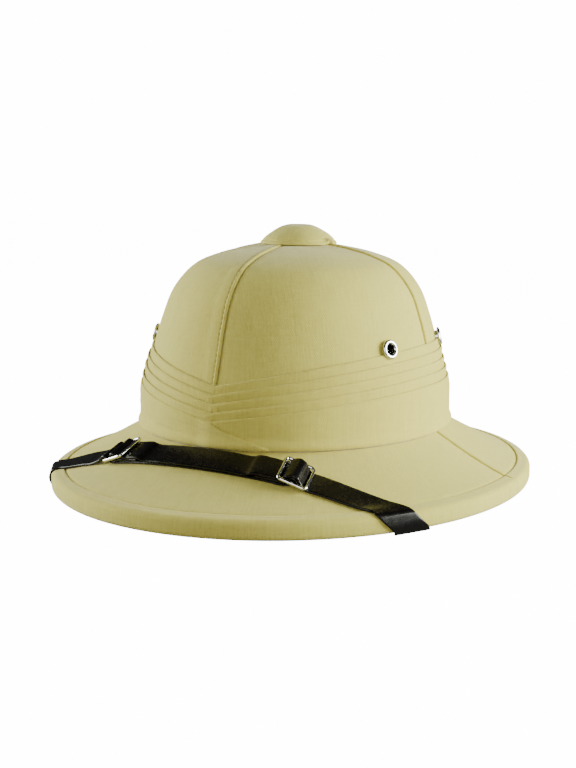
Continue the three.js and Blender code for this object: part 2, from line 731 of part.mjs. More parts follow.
const STRAP_PATHS = {
  // The left strap: under the outer bar, over the middle bar, under the inner bar, along the top of the other
  // strap, then round the middle bar of the right slide and back under itself
  left: {
    near: [
      [SLIDE_PITCH + 6, layerHeight(0)],
      aroundBar('outer', -90, 0),
      aroundBar('outer', -135, 0),
      aroundBar('middle', 10, 1),
      aroundBar('middle', 45, 1),
      aroundBar('middle', 90, 1),
      aroundBar('middle', 125, 1),
      aroundBar('inner', -50, 0),
      aroundBar('inner', -90, 0),
      [-LEFT_TIP_LENGTH - 1.5, layerHeight(2)],
      [-LEFT_TIP_LENGTH - 5.5, layerHeight(1)],
    ],
    far: [
      [-RIGHT_TIP_LENGTH - 5.5, layerHeight(1)],
      [-RIGHT_TIP_LENGTH - 1.5, layerHeight(2)],
      aroundBar('inner', -90, 0),
      aroundBar('middle', 125, 0),
      aroundBar('middle', 90, 0),
      aroundBar('middle', 45, 0),
      aroundBar('middle', 0, 0),
      aroundBar('middle', -45, 0),
      aroundBar('middle', -90, 0),
      [-4, layerHeight(1)],
      [-RIGHT_TIP_LENGTH, layerHeight(1)],
    ],
  },
  // The right strap: over the outer bar of the right slide, flat under the rest, then round the middle bar
  // of the left slide and back over itself
  right: {
    near: [
      [SLIDE_PITCH + 13, layerHeight(0)],
      [SLIDE_PITCH + 5, mix(layerHeight(0), LOW_BAR, 0.9)],
      aroundBar('outer', 60, 0),
      aroundBar('outer', 95, 0),
      aroundBar('outer', 140, 0),
      aroundBar('outer', 180, 0),
      [SLIDE_PITCH * 0.42, layerHeight(0) + 0.3],
      [SLIDE_PITCH * 0.15, layerHeight(0)],
    ],
    far: [
      [-SLIDE_PITCH * 0.62, layerHeight(0)],
      aroundBar('middle', -110, 0),
      aroundBar('middle', -45, 0),
      aroundBar('middle', 0, 0),
      aroundBar('middle', 45, 0),
      aroundBar('middle', 90, 0),
      aroundBar('middle', 130, 0),
      aroundBar('middle', 170, 0),
      [-SLIDE_PITCH * 0.54, mix(layerHeight(1), MIDDLE_BAR, 0.45)],
      [-SLIDE_PITCH * 0.85, layerHeight(1)],
      [-LEFT_TIP_LENGTH, layerHeight(1)],
    ],
  },
};

// Extra points so that no step along the brim is long
function divide(path, longest) {
  return path.flatMap((point, k) => {
    if (k === 0) return [point];
    const before = path[k - 1];
    const steps = Math.ceil(Math.abs(point[0] - before[0]) / longest);
    return range(steps).map((n) => [
      mix(before[0], point[0], (n + 1) / steps),
      mix(before[1], point[1], (n + 1) / steps),
    ]);
  });
}

// Where an edge of the strap reaches the rim, as a distance along the route
function rimCrossing(side, across) {
  return turningPoint(ROUTE_LENGTH / 2, side > 0 ? ROUTE_LENGTH : 0, (along) => {
    const spot = strapPoint(along, across, 0);
    return brimShareAt(spot.x, spot.y) < 1;
  });
}

// One strap from the rim inward; side +1 starts at the rim on +X and side -1 at the rim on -X
function strapOnBrim(side) {
  const ownSlide = side > 0 ? LEFT_SLIDE : RIGHT_SLIDE;
  const otherSlide = side > 0 ? RIGHT_SLIDE : LEFT_SLIDE;
  const path = side > 0 ? STRAP_PATHS.left : STRAP_PATHS.right;
  const near = path.near.map(([along, height]) => [ownSlide + side * along, height]);
  const far = path.far.map(([along, height]) => [otherSlide - side * along, height]);
  const whole = divide([...near, ...far], LONGEST_STRAP_STEP);
  const half = STRAP_WIDTH / 2;
  const sections = whole.map(([along, height], k) => {
    const before = whole[Math.max(k - 1, 0)];
    const after = whole[Math.min(k + 1, whole.length - 1)];
    const run = new THREE.Vector2(after[0] - before[0], after[1] - before[1]).normalize();
    const up = new THREE.Vector2(side * run.y, -side * run.x);
    const corner = (across, offset) =>
      strapPoint(along + up.x * offset, across, height + up.y * offset);
    const thick = STRAP_THICKNESS / 2;
    return [corner(half, thick), corner(-half, thick), corner(-half, -thick), corner(half, -thick)];
  });
  const start = near[0][0];
  const innerCrossing = rimCrossing(side, half);
  const outerCrossing = rimCrossing(side, -half);
  const toRim = [1, 0.75, 0.5, 0.25].map((share) => {
    const corner = (across, height) => {
      const crossing = across > 0 ? innerCrossing : outerCrossing;
      return strapPoint(mix(start, crossing, share), across, height);
    };
    const high = STRAP_GAP + STRAP_THICKNESS;
    return [corner(half, high), corner(-half, high), corner(-half, STRAP_GAP), corner(half, STRAP_GAP)];
  });
  const angleAt = (crossing, across) => {
    const spot = strapPoint(crossing, across, 0);
    return brimAngleAt(spot.x, spot.y, 1);
  };
  return {
    sections: [...toRim, ...sections],
    innerAngle: angleAt(innerCrossing, half),
    outerAngle: angleAt(outerCrossing, -half),
  };
}

// Over the rim's edge and under it
function strapRoundRim(side, innerAngle, outerAngle) {
  return RIM_TURNS.map(({ corner, turn, drift }) => {
    const shift = side * RIM_DRIFT * drift;
    const high = STRAP_GAP + STRAP_THICKNESS;
    return [
      rimPoint(corner, turn, innerAngle + shift, high),
      rimPoint(corner, turn, outerAngle + shift, high),
      rimPoint(corner, turn, outerAngle + shift, STRAP_GAP),
      rimPoint(corner, turn, innerAngle + shift, STRAP_GAP),
    ];
  });
}

// Flat under the hem, turning from the line of the rim to its own run
function strapUnderHem(side, rimEnd) {
  const first = HIDDEN_ROUTE[0];
  const target = new THREE.Vector3(side * first.across * CROWN_HALF_WIDTH, first.back * CROWN_HALF_LENGTH, 0);
  const start = rimEnd[0].clone().add(rimEnd[1]).multiplyScalar(0.5);
  const ahead = target.sub(start).setZ(0).normalize();
  return HEM_STEPS.map(({ inner, outer, beyond }) => {
    const passed = (HEM_WIDTH + EDGE_ROUND) * beyond;
    const advance = (k) => STRAP_WIDTH * (k === 0 || k === 3 ? inner : outer) + passed;
    return rimEnd.map((point, k) => point.clone().addScaledVector(ahead, advance(k)));
  });
}

// The strap's end, flat against the inside of the crown wall
function strapTab(side) {
  const wallLift = -COVER_DEPTH - SHELL_WALL - 2 * GAP;
  const middleHeight = RIM_BOTTOM + FOOT_HEIGHT * TAB_HEIGHT;
  const lean = degrees(TAB_LEAN);
  const perDegree = (CROWN_HALF_LENGTH * Math.PI) / 180;
  const corner = (along, across, lift) => {
    const back = along * Math.cos(lean) - across * Math.sin(lean);
    const up = along * Math.sin(lean) + across * Math.cos(lean);
    return wallPoint(middleHeight + up, side * (TAB_ANGLE + back / perDegree), wallLift - lift);
  };
  const half = STRAP_WIDTH / 2;
  const places = [-TAB_LENGTH / 2, 0, TAB_LENGTH / 2];
  return {
    middleHeight,
    sections: places.map((along) => [
      corner(along, half, 0),
      corner(along, -half, 0),
      corner(along, -half, STRAP_THICKNESS),
      corner(along, half, STRAP_THICKNESS),
    ]),
  };
}

// The free stretch under the brim, turning from flat to upright
function strapHidden(side, rimEnd, tabStart) {
  const middleOf = (section) =>
    section.reduce((sum, point) => sum.add(point), new THREE.Vector3()).divideScalar(section.length);
  const widthOf = (section) => section[0].clone().sub(section[1]).normalize();
  const flat = widthOf(rimEnd);
  const upright = widthOf(tabStart);
  const middles = [
    middleOf(rimEnd),
    ...HIDDEN_ROUTE.map(({ across, back, up }) => {
      const height = RIM_BOTTOM + up * FOOT_HEIGHT;
      return new THREE.Vector3(side * across * CROWN_HALF_WIDTH, back * CROWN_HALF_LENGTH, height);
    }),
    middleOf(tabStart),
  ];
  const curve = new THREE.CatmullRomCurve3(middles);
  const turns = [0, ...HIDDEN_ROUTE.map(({ turn }) => turn), 1];
  return range(HIDDEN_STEPS - 1).map((k) => {
    const share = (k + 1) / HIDDEN_STEPS;
    const place = share * (turns.length - 1);
    const before = Math.floor(place);
    const turn = mix(turns[before], turns[before + 1], place - before);
    const middle = curve.getPoint(share);
    const ahead = curve.getTangent(share);
    const across = flat.clone().lerp(upright, turn);
    across.addScaledVector(ahead, -across.dot(ahead)).normalize();
    const out = ahead.clone().cross(across).multiplyScalar(side).normalize();
    const corner = (width, lift) =>
      middle.clone().addScaledVector(across, width).addScaledVector(out, lift);
    const half = STRAP_WIDTH / 2;
    const thick = STRAP_THICKNESS / 2;
    return [corner(half, thick), corner(-half, thick), corner(-half, -thick), corner(half, -thick)];
  });
}

function chinStrap(side) {
  const onBrim = strapOnBrim(side);
  const round = strapRoundRim(side, onBrim.innerAngle, onBrim.outerAngle);
  const tab = strapTab(side);
  const underHem = strapUnderHem(side, round.at(-1));
  const hidden = strapHidden(side, underHem.at(-1), tab.sections[0]);
  const outward = [...round, ...underHem, ...hidden, ...tab.sections];
  const body = loft([...outward.reverse(), ...onBrim.sections]);
  return { body, tabHeight: tab.middleHeight - RIM_BOTTOM };
}

// Slide: a wire frame with a middle bar
function roundWire(points, closed) {
  const count = points.length;
  const sections = points.map((point, k) => {
    const before = closed ? points[(k + count - 1) % count] : points[Math.max(k - 1, 0)];
    const after = closed ? points[(k + 1) % count] : points[Math.min(k + 1, count - 1)];
    const ahead = after.clone().sub(before).normalize();
    const first = new THREE.Vector3(0, 0, 1).cross(ahead).normalize();
    const second = ahead.clone().cross(first);
    return range(WIRE_SIDES).map((n) => {
      const turn = (2 * Math.PI * (n + 0.5)) / WIRE_SIDES;
      return point
        .clone()
        .addScaledVector(first, (SLIDE_WIRE / 2) * Math.cos(turn))
        .addScaledVector(second, (SLIDE_WIRE / 2) * Math.sin(turn));
    });
  });
  return loft(sections, closed);
}

function slideFrame(side) {
  const centre = side > 0 ? LEFT_SLIDE : RIGHT_SLIDE;
  const railPlace = STRAP_WIDTH / 2 + GAP + SLIDE_WIRE / 2;
  const heightAt = (along) => mix(HIGH_BAR, LOW_BAR, (along + SLIDE_PITCH) / (2 * SLIDE_PITCH));
  const spot = (along, across) => strapPoint(centre + side * along, across, heightAt(along));
  const corners = [
    [1, 1],
    [1, -1],
    [-1, -1],
    [-1, 1],
  ];
  const loop = corners.flatMap(([along, across], k) => {
    const a = along * SLIDE_PITCH;
    const w = across * railPlace;
    const onBar = spot(a, w - across * SLIDE_CORNER);
    const onRail = spot(a - along * SLIDE_CORNER, w);
    const middle = spot(a - along * SLIDE_CORNER * 0.3, w - across * SLIDE_CORNER * 0.3);
    return k % 2 === 0 ? [onRail, middle, onBar] : [onBar, middle, onRail];
  });
  const bar = roundWire([-1, 0, 1].map((across) => spot(0, across * railPlace)), false);
  return fromSolid(toSolid(roundWire(loop, true)).add(toSolid(bar)));
}

// Rivet: one plain pin through the strap's end and the shell wall, headed on the inside
function strapRivet(side, height) {
  const pinEnd = -COVER_DEPTH - GAP;
  const strapInner = -COVER_DEPTH - SHELL_WALL - 2 * GAP - STRAP_THICKNESS - 2 * GAP;
  const profile = [
    [0, strapInner - RIVET_THICKNESS],
    [RIVET_HEAD, strapInner - RIVET_THICKNESS * 0.4],
    [RIVET_HEAD, strapInner],
    [RIVET_SHANK, strapInner],
    [RIVET_SHANK, pinEnd],
    [0, pinEnd],
  ];
  return setOnCrown(turned(profile, RIVET_SEGMENTS), side * TAB_ANGLE, height);
}

// Assembly: shell, panels and covers, cut where the eyelets and rivets pass
const sides = [
  { name: 'left', side: 1 },
  { name: 'right', side: -1 },
];

let shell = toSolid(loft(allAngles.map(shellSection), true));
for (const { name, side } of sides) {
  const strap = chinStrap(side);
  const cuts = EYELET_ANGLES.map((angle) => {
    const inward = COVER_DEPTH + SHELL_WALL + BORE_REACH;
    return boreAt(side * angle, EYELET_HEIGHT, EYELET_BARREL + GAP, inward, BAND_CLOTH + BORE_REACH);
  });
  const pinBore = boreAt(side * TAB_ANGLE, strap.tabHeight, RIVET_SHANK + GAP, PIN_BORE_DEPTH, -GAP);
  for (const cut of [...cuts, pinBore]) shell = shell.subtract(cut);

  const mirrored = (angles) => angles.map((angle) => side * angle);
  const frontPanel = side > 0 ? crownPanel(frontAngles) : crownPanel(mirrored(frontAngles).reverse());
  const rearPanel = side > 0 ? crownPanel(rearAngles) : crownPanel(mirrored(rearAngles).reverse());
  addPiece(`crown_panel_front_${name}`, fromSolid(toSolid(frontPanel).subtract(cuts[0])), COVER_CLOTH);
  addPiece(`crown_panel_rear_${name}`, fromSolid(toSolid(rearPanel).subtract(cuts[1])), COVER_CLOTH);

  let wrap = toSolid(side > 0 ? innerWrap(side) : outerWrap(side));
  for (const cut of cuts) wrap = wrap.subtract(cut);
  addPiece(`puggaree_${name}`, fromSolid(wrap), BAND_CLOTH_COLOUR);

  addPiece(`eyelet_front_${name}`, eyelet(side * EYELET_ANGLES[0]), CHROME);
  addPiece(`eyelet_rear_${name}`, eyelet(side * EYELET_ANGLES[1]), CHROME);
  addPiece(`chin_strap_${name}`, fromSolid(toSolid(strap.body).subtract(pinBore)), LEATHER);
  addPiece(`strap_slide_${name}`, slideFrame(side), CHROME);
  addPiece(`strap_rivet_${name}`, strapRivet(side, strap.tabHeight), CHROME);
}
addPiece('helmet_shell', fromSolid(shell), SHELL_FIBRE);

const frontCoverAngles = [...frontAngles.slice(1).reverse().map((angle) => -angle), ...frontAngles];
const rearCoverAngles = [...rearAngles, ...rearAngles.slice(0, -1).reverse().map((angle) => 360 - angle)];
addPiece('brim_cover_front', brimCover(frontCoverAngles), COVER_CLOTH);
addPiece('brim_cover_rear', brimCover(rearCoverAngles), COVER_CLOTH);
addPiece('vent_cap', ventCap(), COVER_CLOTH);
addPiece('vent_collar', ventCollar(), SHELL_FIBRE);

export default helmet;
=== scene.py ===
# Pith helmet: cloth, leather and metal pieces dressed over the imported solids, with camera, lights and floor.
# Sizes are millimetres unless a name says otherwise. The front faces -Y and the wearer's left is +X.
# An angle on the helmet counts from the front, positive toward +X.

import math

import bpy
import numpy as np
from mathutils import Matrix, Quaternion, Vector, noise


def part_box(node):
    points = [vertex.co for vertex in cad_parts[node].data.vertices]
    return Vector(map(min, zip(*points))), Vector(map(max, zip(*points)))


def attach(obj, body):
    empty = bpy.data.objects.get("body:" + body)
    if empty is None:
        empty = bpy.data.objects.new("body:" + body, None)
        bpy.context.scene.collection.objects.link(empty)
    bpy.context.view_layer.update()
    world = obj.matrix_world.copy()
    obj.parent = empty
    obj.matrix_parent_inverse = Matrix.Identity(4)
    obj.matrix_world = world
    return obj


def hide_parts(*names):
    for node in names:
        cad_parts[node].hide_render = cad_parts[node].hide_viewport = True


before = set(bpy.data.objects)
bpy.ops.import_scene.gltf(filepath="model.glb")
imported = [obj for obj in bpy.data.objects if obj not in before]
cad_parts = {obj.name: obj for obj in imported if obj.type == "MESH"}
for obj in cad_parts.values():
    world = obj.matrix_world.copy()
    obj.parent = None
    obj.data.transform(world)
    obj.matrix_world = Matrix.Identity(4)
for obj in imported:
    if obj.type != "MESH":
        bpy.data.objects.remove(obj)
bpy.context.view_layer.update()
MM = 0.001


def node_span(*names):
    """Lowest and highest corner of CAD nodes, in millimetres."""
    corners = np.array([[list(corner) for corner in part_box(name)] for name in names]) / MM
    return corners[:, 0].min(axis=0), corners[:, 1].max(axis=0)


# Brim
SIDE_SEAM_ANGLE = 92
BRIM_LOW, BRIM_HIGH = node_span("brim_cover_front", "brim_cover_rear")
BRIM_HALF_LENGTH = BRIM_HIGH[1]
BRIM_HALF_WIDTH = BRIM_HIGH[0] / math.sin(math.radians(SIDE_SEAM_ANGLE))
RIM_BOTTOM = BRIM_LOW[2]
RIM_HEIGHT = 11.6
RIM_ROUND = 4
EDGE_ROUND = 3
HEM_WIDTH = 8
BRIM_SWEEP = 1.22
BRIM_ROOT_THICKNESS = 6.5

# Crown
CROWN_HALF_LENGTH = 110.5
CROWN_HALF_WIDTH = 96.5
FOOT_RISE = 36.7
DOME_RISE = 153.3
FOOT = RIM_BOTTOM + FOOT_RISE
DOME_TOP = RIM_BOTTOM + DOME_RISE
RIM_TOP = RIM_BOTTOM + RIM_HEIGHT
SHELL_WALL = 5
CLOTH = 1
GAP = 0.3
COVER_DEPTH = CLOTH + GAP
VENT_RADIUS = 8.7
PANEL_END_RADIUS = 12.2
CROWN_STRETCH = CROWN_HALF_LENGTH / CROWN_HALF_WIDTH

# Pleated band
BAND_TOP_SIDE = 92
BAND_TOP_FRONT = 73.3
BAND_DIP_POWER = 1.75
PLEAT_COUNT = 5
PLEAT_STEP_SIDE = 6
PLEAT_STEP_FRONT = 5.15
PLEAT_RISE = 1.2
PLEAT_SPREAD = 0.1
BAND_ENDS = (0.02, 179.98)
BAND_COLUMNS = 230
BAND_CLOTH = 1.1
BAND_GAP = 0.45
LAP_CLOTH = 1.3
BAND_RADIUS = 103

# Vent cap and collar
CAP_LOW, CAP_HIGH = node_span("vent_cap")
CAP_RADIUS = 25
CAP_HEIGHT = CAP_HIGH[2] - CAP_LOW[2]
CAP_TURN = -10
CAP_NOTCH_ANGLE = 11
CAP_NOTCH_HEIGHT = 3.6
CAP_NOTCH_REACH = 0.34
CAP_HEM_HEIGHT = 2.4
CAP_HEM_WIDTH = 0.45
CAP_HEM_DEPTH = 0.35
COLLAR_RADIUS = 7.4
COLLAR_BORE = 5.4
COLLAR_FLANGE = 1.2

# Eyelets and rivets
EYELET_ANGLES = {"front": 66.5, "rear": 111}
EYELET_HEIGHT = 92.4
EYELET_RADIUS = 6
EYELET_HOLE = 3.25
EYELET_BARREL = 4
BORE_RADIUS = EYELET_BARREL + GAP
BORE_HALF_DEPTH = 14
EYELET_FLANGE = 1.3
EYELET_REACH = 1.3
RIVET_HEAD = 4
RIVET_SHANK = 1.6
RIVET_THICKNESS = 1.2

# Chin strap and slides
STRAP_WIDTH = 17.5
STRAP_THICKNESS = 1.4
STRAP_GAP = 0.5
WRAP_GAP = 0.45
SLIDE_WIRE = 2
SLIDE_PITCH = 8.1
SLIDE_CORNER = 2
SLIDE_SHARES = {1: 0.703, -1: 0.295}
LEFT_TIP_LENGTH = 22
RIGHT_TIP_LENGTH = 18
RIM_DRIFT = 5
TAB_ANGLE = 88
TAB_LEAN = 56
TAB_LENGTH = 16
TAB_HEIGHT = 0.98

# The crown's outline as (out, up): shares of its half breadth and of its height
CROWN_OUTLINE = [
    (1, 0), (0.99, 0.207), (0.932, 0.413), (0.872, 0.599), (0.797, 0.754),
    (0.668, 0.875), (0.515, 0.9325), (0.375, 0.962), (0.24, 0.981), (0, 1),
]

# The vent cap's section as (out, up): shares of its radius and of its height
CAP_OUTER = [
    (0, 0.955), (0.08, 0.965), (0.17, 1), (0.27, 1), (0.36, 0.965), (0.48, 0.875), (0.6, 0.74), (0.71, 0.595),
    (0.8, 0.46), (0.885, 0.31), (0.94, 0.2), (0.98, 0.09), (0.995, 0.03), (0.985, 0),
]
CAP_INNER = [(0.9, 0), (0.84, 0.06), (0.7, 0.36), (0.5, 0.57), (0, 0.6)]

# Slight unevenness of each surface, as rows of (height, length of one wave, seed)
CROWN_WAVES = [(0.22, 34, 1), (0.05, 9, 2)]
BRIM_WAVES = [(0.3, 42, 3), (0.06, 11, 4)]
EDGE_PUCKERS = [(0.09, 5, 5)]
RIM_WAVES = [(0.12, 30, 6)]
CAP_WAVES = [(0.3, 11, 41), (0.1, 4, 42)]

# The chin strap's middle line over the brim as (across, forward): shares of the half width and half length
STRAP_ROUTE = [
    (-0.95, 0.574), (-0.79, 0.594), (-0.62, 0.609), (-0.45, 0.641), (-0.3, 0.67), (-0.15, 0.692), (0, 0.7),
    (0.15, 0.696), (0.3, 0.679), (0.45, 0.657), (0.62, 0.636), (0.79, 0.612), (0.95, 0.588),
]

# The strap's hidden stretch as (across, back, up, turn): shares of the crown's half breadths, of the foot's
# height, and of the turn from lying flat to standing upright
HIDDEN_ROUTE = [(1.11, -0.53, 0.07, 0.2), (0.98, -0.27, 0.24, 0.55)]

# The strap under the hem as (inner, outer, beyond): how far its two edges have run, as shares of its width,
# and how far both have passed the hem, as a share of the hem's depth
HEM_STEPS = [(0.1, 0.57, 0), (0.2, 1.15, 0), (0.2, 1.15, 1.4)]

# The strap round the rim as (corner, turn, drift)
RIM_TURNS = [("top", 45, 0.1), ("top", 0, 0.35), ("bottom", 0, 0.7), ("bottom", -45, 0.9), ("bottom", -90, 1)]

# Seams as (distance in from the seam, lift): the folded side that lies over, and the side that lies under
SEAM_OVER = [
    (0.1, -0.35), (0.25, 0.25), (0.5, 0.6), (0.9, 0.8), (1.4, 0.85), (1.9, 0.72), (2.3, 0.4), (2.6, 0.22),
    (2.9, 0.36), (3.4, 0.46), (4.5, 0.42), (6.5, 0.36), (8.5, 0.28), (9.6, 0.08), (11, 0),
]
SEAM_UNDER = [
    (0.1, -0.75), (0.25, -0.6), (0.5, -0.45), (0.9, -0.3), (1.4, -0.2), (1.9, -0.12), (2.3, -0.06),
    (2.6, -0.03), (2.9, 0), (3.4, 0), (4.5, 0), (6.5, 0), (8.5, 0), (9.6, 0), (11, 0),
]
STITCH_INSET = 2.6
STITCH_PITCH = 3.1
STITCH_LENGTH = 2.2
STITCH_RADIUS = 0.2

# The brim's top near its edge as (inset from the edge, lift): the cover meets the raised binding
BINDING_PROFILE = [
    (22, 0), (16, 0), (13, 0), (11, -0.03), (9.8, -0.12), (9.1, -0.3), (8.75, -0.6), (8.5, -0.8),
    (8.3, -0.72), (8.15, -0.1), (7.95, 0.25), (7.6, 0.44), (7, 0.52), (6, 0.5), (5, 0.42),
]
RIM_LIFT = 0.38

# The band's base fold as (up from the foot, lift)
BASE_FOLD = [
    (0.2, 0.8), (0.5, 1.7), (1.1, 2.4), (2, 2.85), (3, 2.95), (4, 2.75), (5, 2.35), (5.8, 2.02), (6.6, 1.82),
    (8, 1.7),
]

# Soft creases of the lap as (first angle, its height above the foot, last angle, its height, depth)
LAP_CREASES = [(-44, 9.5, -4, 5.6, 0.55), (-24, 15, 8, 7.2, 0.3), (-60, 14, -28, 9.5, 0.3)]
CREASE_WIDTH = 1.1

# The lap's folded top edge as (angle, height above the rim's underside)
LAP_EDGE = [(-6, 53.6), (0, 52.2), (3, 49), (8, 45.6), (13.7, 42.4), (20.8, 38.6)]


def smooth_path(points, per_span):
    """A smooth line through the points, as a dense row of places."""
    points = np.asarray(points, dtype=float)
    padded = np.vstack([2 * points[:1] - points[1:2], points, 2 * points[-1:] - points[-2:-1]])
    steps = np.maximum(np.linalg.norm(np.diff(padded, axis=0), axis=1) ** 0.5, 1e-6)
    share = np.linspace(0, 1, per_span, endpoint=False)[:, None]
    spans = []
    for k in range(1, len(padded) - 2):
        before, start, end, after = padded[k - 1:k + 3]
        one, two, three = steps[k - 1:k + 2]
        leave = ((start - before) / one - (end - before) / (one + two) + (end - start) / two) * two
        arrive = ((end - start) / two - (after - start) / (two + three) + (after - end) / three) * two
        square = 3 * (end - start) - 2 * leave - arrive
        cube = 2 * (start - end) + leave + arrive
        spans.append(start + leave * share + square * share**2 + cube * share**3)
    return np.vstack([*spans, points[-1:]])


def run_length(places):
    """The distance along a row of places, from its first."""
    return np.concatenate([[0], np.cumsum(np.linalg.norm(np.diff(places, axis=0), axis=1))])


class Path:
    """A line of places that is read by the distance along it."""

    def __init__(self, places):
        self.places = np.asarray(places, dtype=float)
        self.run = run_length(self.places)
        self.length = self.run[-1]

    def at(self, distance):
        return np.stack([np.interp(distance, self.run, column) for column in self.places.T], axis=-1)


def mix(start, end, share):
    return start + (end - start) * share


def unit(vectors):
    return vectors / np.maximum(np.linalg.norm(vectors, axis=-1, keepdims=True), 1e-9)


def ripple(places, size, seed):
    """A smooth, repeatable unevenness between about -1 and 1 at each place."""
    shift = Vector((seed * 17.3, seed * 5.1, seed * 9.7))
    flat = places.reshape(-1, 3) / size
    values = [noise.noise(Vector(place) + shift) for place in flat]
    return np.array(values).reshape(places.shape[:-1])


def waves(places, rows):
    return sum(height * ripple(places, size, seed) for height, size, seed in rows)


# The crown's outline, read by height, by radius or by share of its length
outline = Path(smooth_path(
    [(out * CROWN_HALF_WIDTH, mix(FOOT, DOME_TOP, up)) for out, up in CROWN_OUTLINE], 60))


def outline_share(height):
    return np.interp(height, outline.places[:, 1], outline.run) / outline.length


def outline_share_at_radius(radius):
    upper = outline.run > outline.length / 2
    return np.interp(-radius, -outline.places[upper, 0], outline.run[upper]) / outline.length


def crown_oval(share):
    radius, height = np.moveaxis(outline.at(np.asarray(share) * outline.length), -1, 0)
    return radius, radius * CROWN_STRETCH, height


def brim_oval(share):
    width = mix(CROWN_HALF_WIDTH, BRIM_HALF_WIDTH - RIM_ROUND, share)
    length = mix(CROWN_HALF_LENGTH, BRIM_HALF_LENGTH - RIM_ROUND, share)
    height = RIM_TOP + (FOOT - RIM_TOP) * np.clip(1 - share, 0, 2) ** BRIM_SWEEP
    return width, length, height


def on_surface(oval, share, angle, lift, facing):
    """Places on a surface of ovals, moved off it by lift; angles are radians. Gives the normals too."""
    share, angle, lift = np.broadcast_arrays(np.asarray(share, float), angle, lift)
    small = 0.004

    def place(at_share, at_angle):
        width, length, height = oval(at_share)
        return np.stack([width * np.sin(at_angle), -length * np.cos(at_angle), height], axis=-1)

    rise = place(share + small, angle) - place(share - small, angle)
    turn = place(share, angle + small) - place(share, angle - small)
    normal = unit(np.cross(turn, rise)) * facing
    return place(share, angle) + normal * lift[..., None], normal


def on_crown(share, angle, lift=0.0):
    return on_surface(crown_oval, share, angle, lift, 1)


def on_brim(share, angle, lift=0.0):
    return on_surface(brim_oval, share, angle, lift, -1)


def on_wall(height, angle, lift):
    """Places on the crown at a height, moved straight out of the wall by lift."""
    height, angle, lift = np.broadcast_arrays(np.asarray(height, float), angle, lift)
    radius = outline.at(outline_share(height) * outline.length)[..., 0]
    across = (radius + lift) * np.sin(angle)
    forward = -(radius * CROWN_STRETCH + lift) * np.cos(angle)
    return np.stack([across, forward, height], axis=-1)


def beside_rim(out, angle, height):
    """Places at a height on the rim's oval, which is made wider all round by out."""
    across = (BRIM_HALF_WIDTH + out) * np.sin(angle)
    forward = -(BRIM_HALF_LENGTH + out) * np.cos(angle)
    return np.stack([across, forward, height + 0 * angle], axis=-1)


def on_rim(corner, turn, angle, lift):
    """Places on the rim's rounding; corner is top or bottom, turn is its slope in degrees."""
    radius = RIM_ROUND if corner == "top" else EDGE_ROUND
    centre = RIM_TOP - RIM_ROUND if corner == "top" else RIM_BOTTOM + EDGE_ROUND
    out = (radius + lift) * np.cos(np.radians(turn)) - radius
    return beside_rim(out, angle, centre + (radius + lift) * np.sin(np.radians(turn)))


def under_rim(inset, angle, lift):
    return beside_rim(-inset, angle, RIM_BOTTOM - lift)


def fold_height(fold, angle):
    """Height of one of the band's folded edges, fold 0 at the top; the angle is in radians."""
    from_front = np.abs(np.degrees(np.arctan2(np.sin(angle), np.cos(angle))))
    dip = np.clip(1 - from_front / 90, 0, 1) ** BAND_DIP_POWER
    at_side = BAND_TOP_SIDE - fold * PLEAT_STEP_SIDE
    at_front = BAND_TOP_FRONT - fold * PLEAT_STEP_FRONT
    return RIM_BOTTOM + mix(at_side, at_front, dip)


# Meshes
def quads(a, b, c, d):
    return np.stack([a, b, c, d], axis=-1).reshape(-1, 4)


def wall_mesh(outer, inner):
    """A closed wall between two grids of places."""
    rows, columns = outer.shape[:2]
    vertices = np.concatenate([outer.reshape(-1, 3), inner.reshape(-1, 3)])
    front = np.arange(rows * columns).reshape(rows, columns)
    back = front + rows * columns
    faces = np.concatenate([
        quads(front[:-1, :-1], front[:-1, 1:], front[1:, 1:], front[1:, :-1]),
        quads(back[:-1, :-1], back[1:, :-1], back[1:, 1:], back[:-1, 1:]),
        quads(front[0, :-1], back[0, :-1], back[0, 1:], front[0, 1:]),
        quads(front[-1, :-1], front[-1, 1:], back[-1, 1:], back[-1, :-1]),
        quads(front[:-1, 0], front[1:, 0], back[1:, 0], back[:-1, 0]),
        quads(front[:-1, -1], back[:-1, -1], back[1:, -1], front[1:, -1]),
    ])
    return vertices, outward(vertices, faces)


def loop_mesh(sections, around=False):
    """A closed body through a row of closed loops, which runs right round or is closed at both ends."""
    count, size = sections.shape[:2]
    vertices = sections.reshape(-1, 3)
    index = np.arange(count * size).reshape(count, size)
    index = np.hstack([index, index[:, :1]])
    if around:
        index = np.vstack([index, index[:1]])
    faces = quads(index[:-1, :-1], index[:-1, 1:], index[1:, 1:], index[1:, :-1])
    if not around:
        middles = np.stack([sections[0].mean(axis=0), sections[-1].mean(axis=0)])
        first, last = len(vertices), len(vertices) + 1
        vertices = np.concatenate([vertices, middles])
        ends = [
            np.stack([index[0, 1:], index[0, :-1], np.full(size, first), np.full(size, first)], axis=-1),
            np.stack([index[-1, :-1], index[-1, 1:], np.full(size, last), np.full(size, last)], axis=-1),
        ]
        faces = np.concatenate([faces, *ends])
    return vertices, outward(vertices, faces)


def outward(vertices, faces):
    """The faces, turned so that they look out of the body."""
    a, b, c, d = (vertices[faces[:, k]] for k in range(4))
    volume = np.sum(a * np.cross(b, c)) + np.sum(a * np.cross(c, d))
    return faces if volume > 0 else faces[:, ::-1]


def joined(*meshes):
    """Several (vertices, faces) pairs as one."""
    starts = np.cumsum([0] + [len(vertices) for vertices, faces in meshes[:-1]])
    return (
        np.concatenate([vertices for vertices, faces in meshes]),
        np.concatenate([faces + start for (vertices, faces), start in zip(meshes, starts)]),
    )


def in_scene(name, data):
    thing = bpy.data.objects.new(name, data)
    bpy.context.scene.collection.objects.link(thing)
    return thing


def flat_map(across, along):
    """Where each place of a piece lies on the flat cloth."""
    return np.stack(np.broadcast_arrays(across, along), axis=-1).reshape(-1, 2)


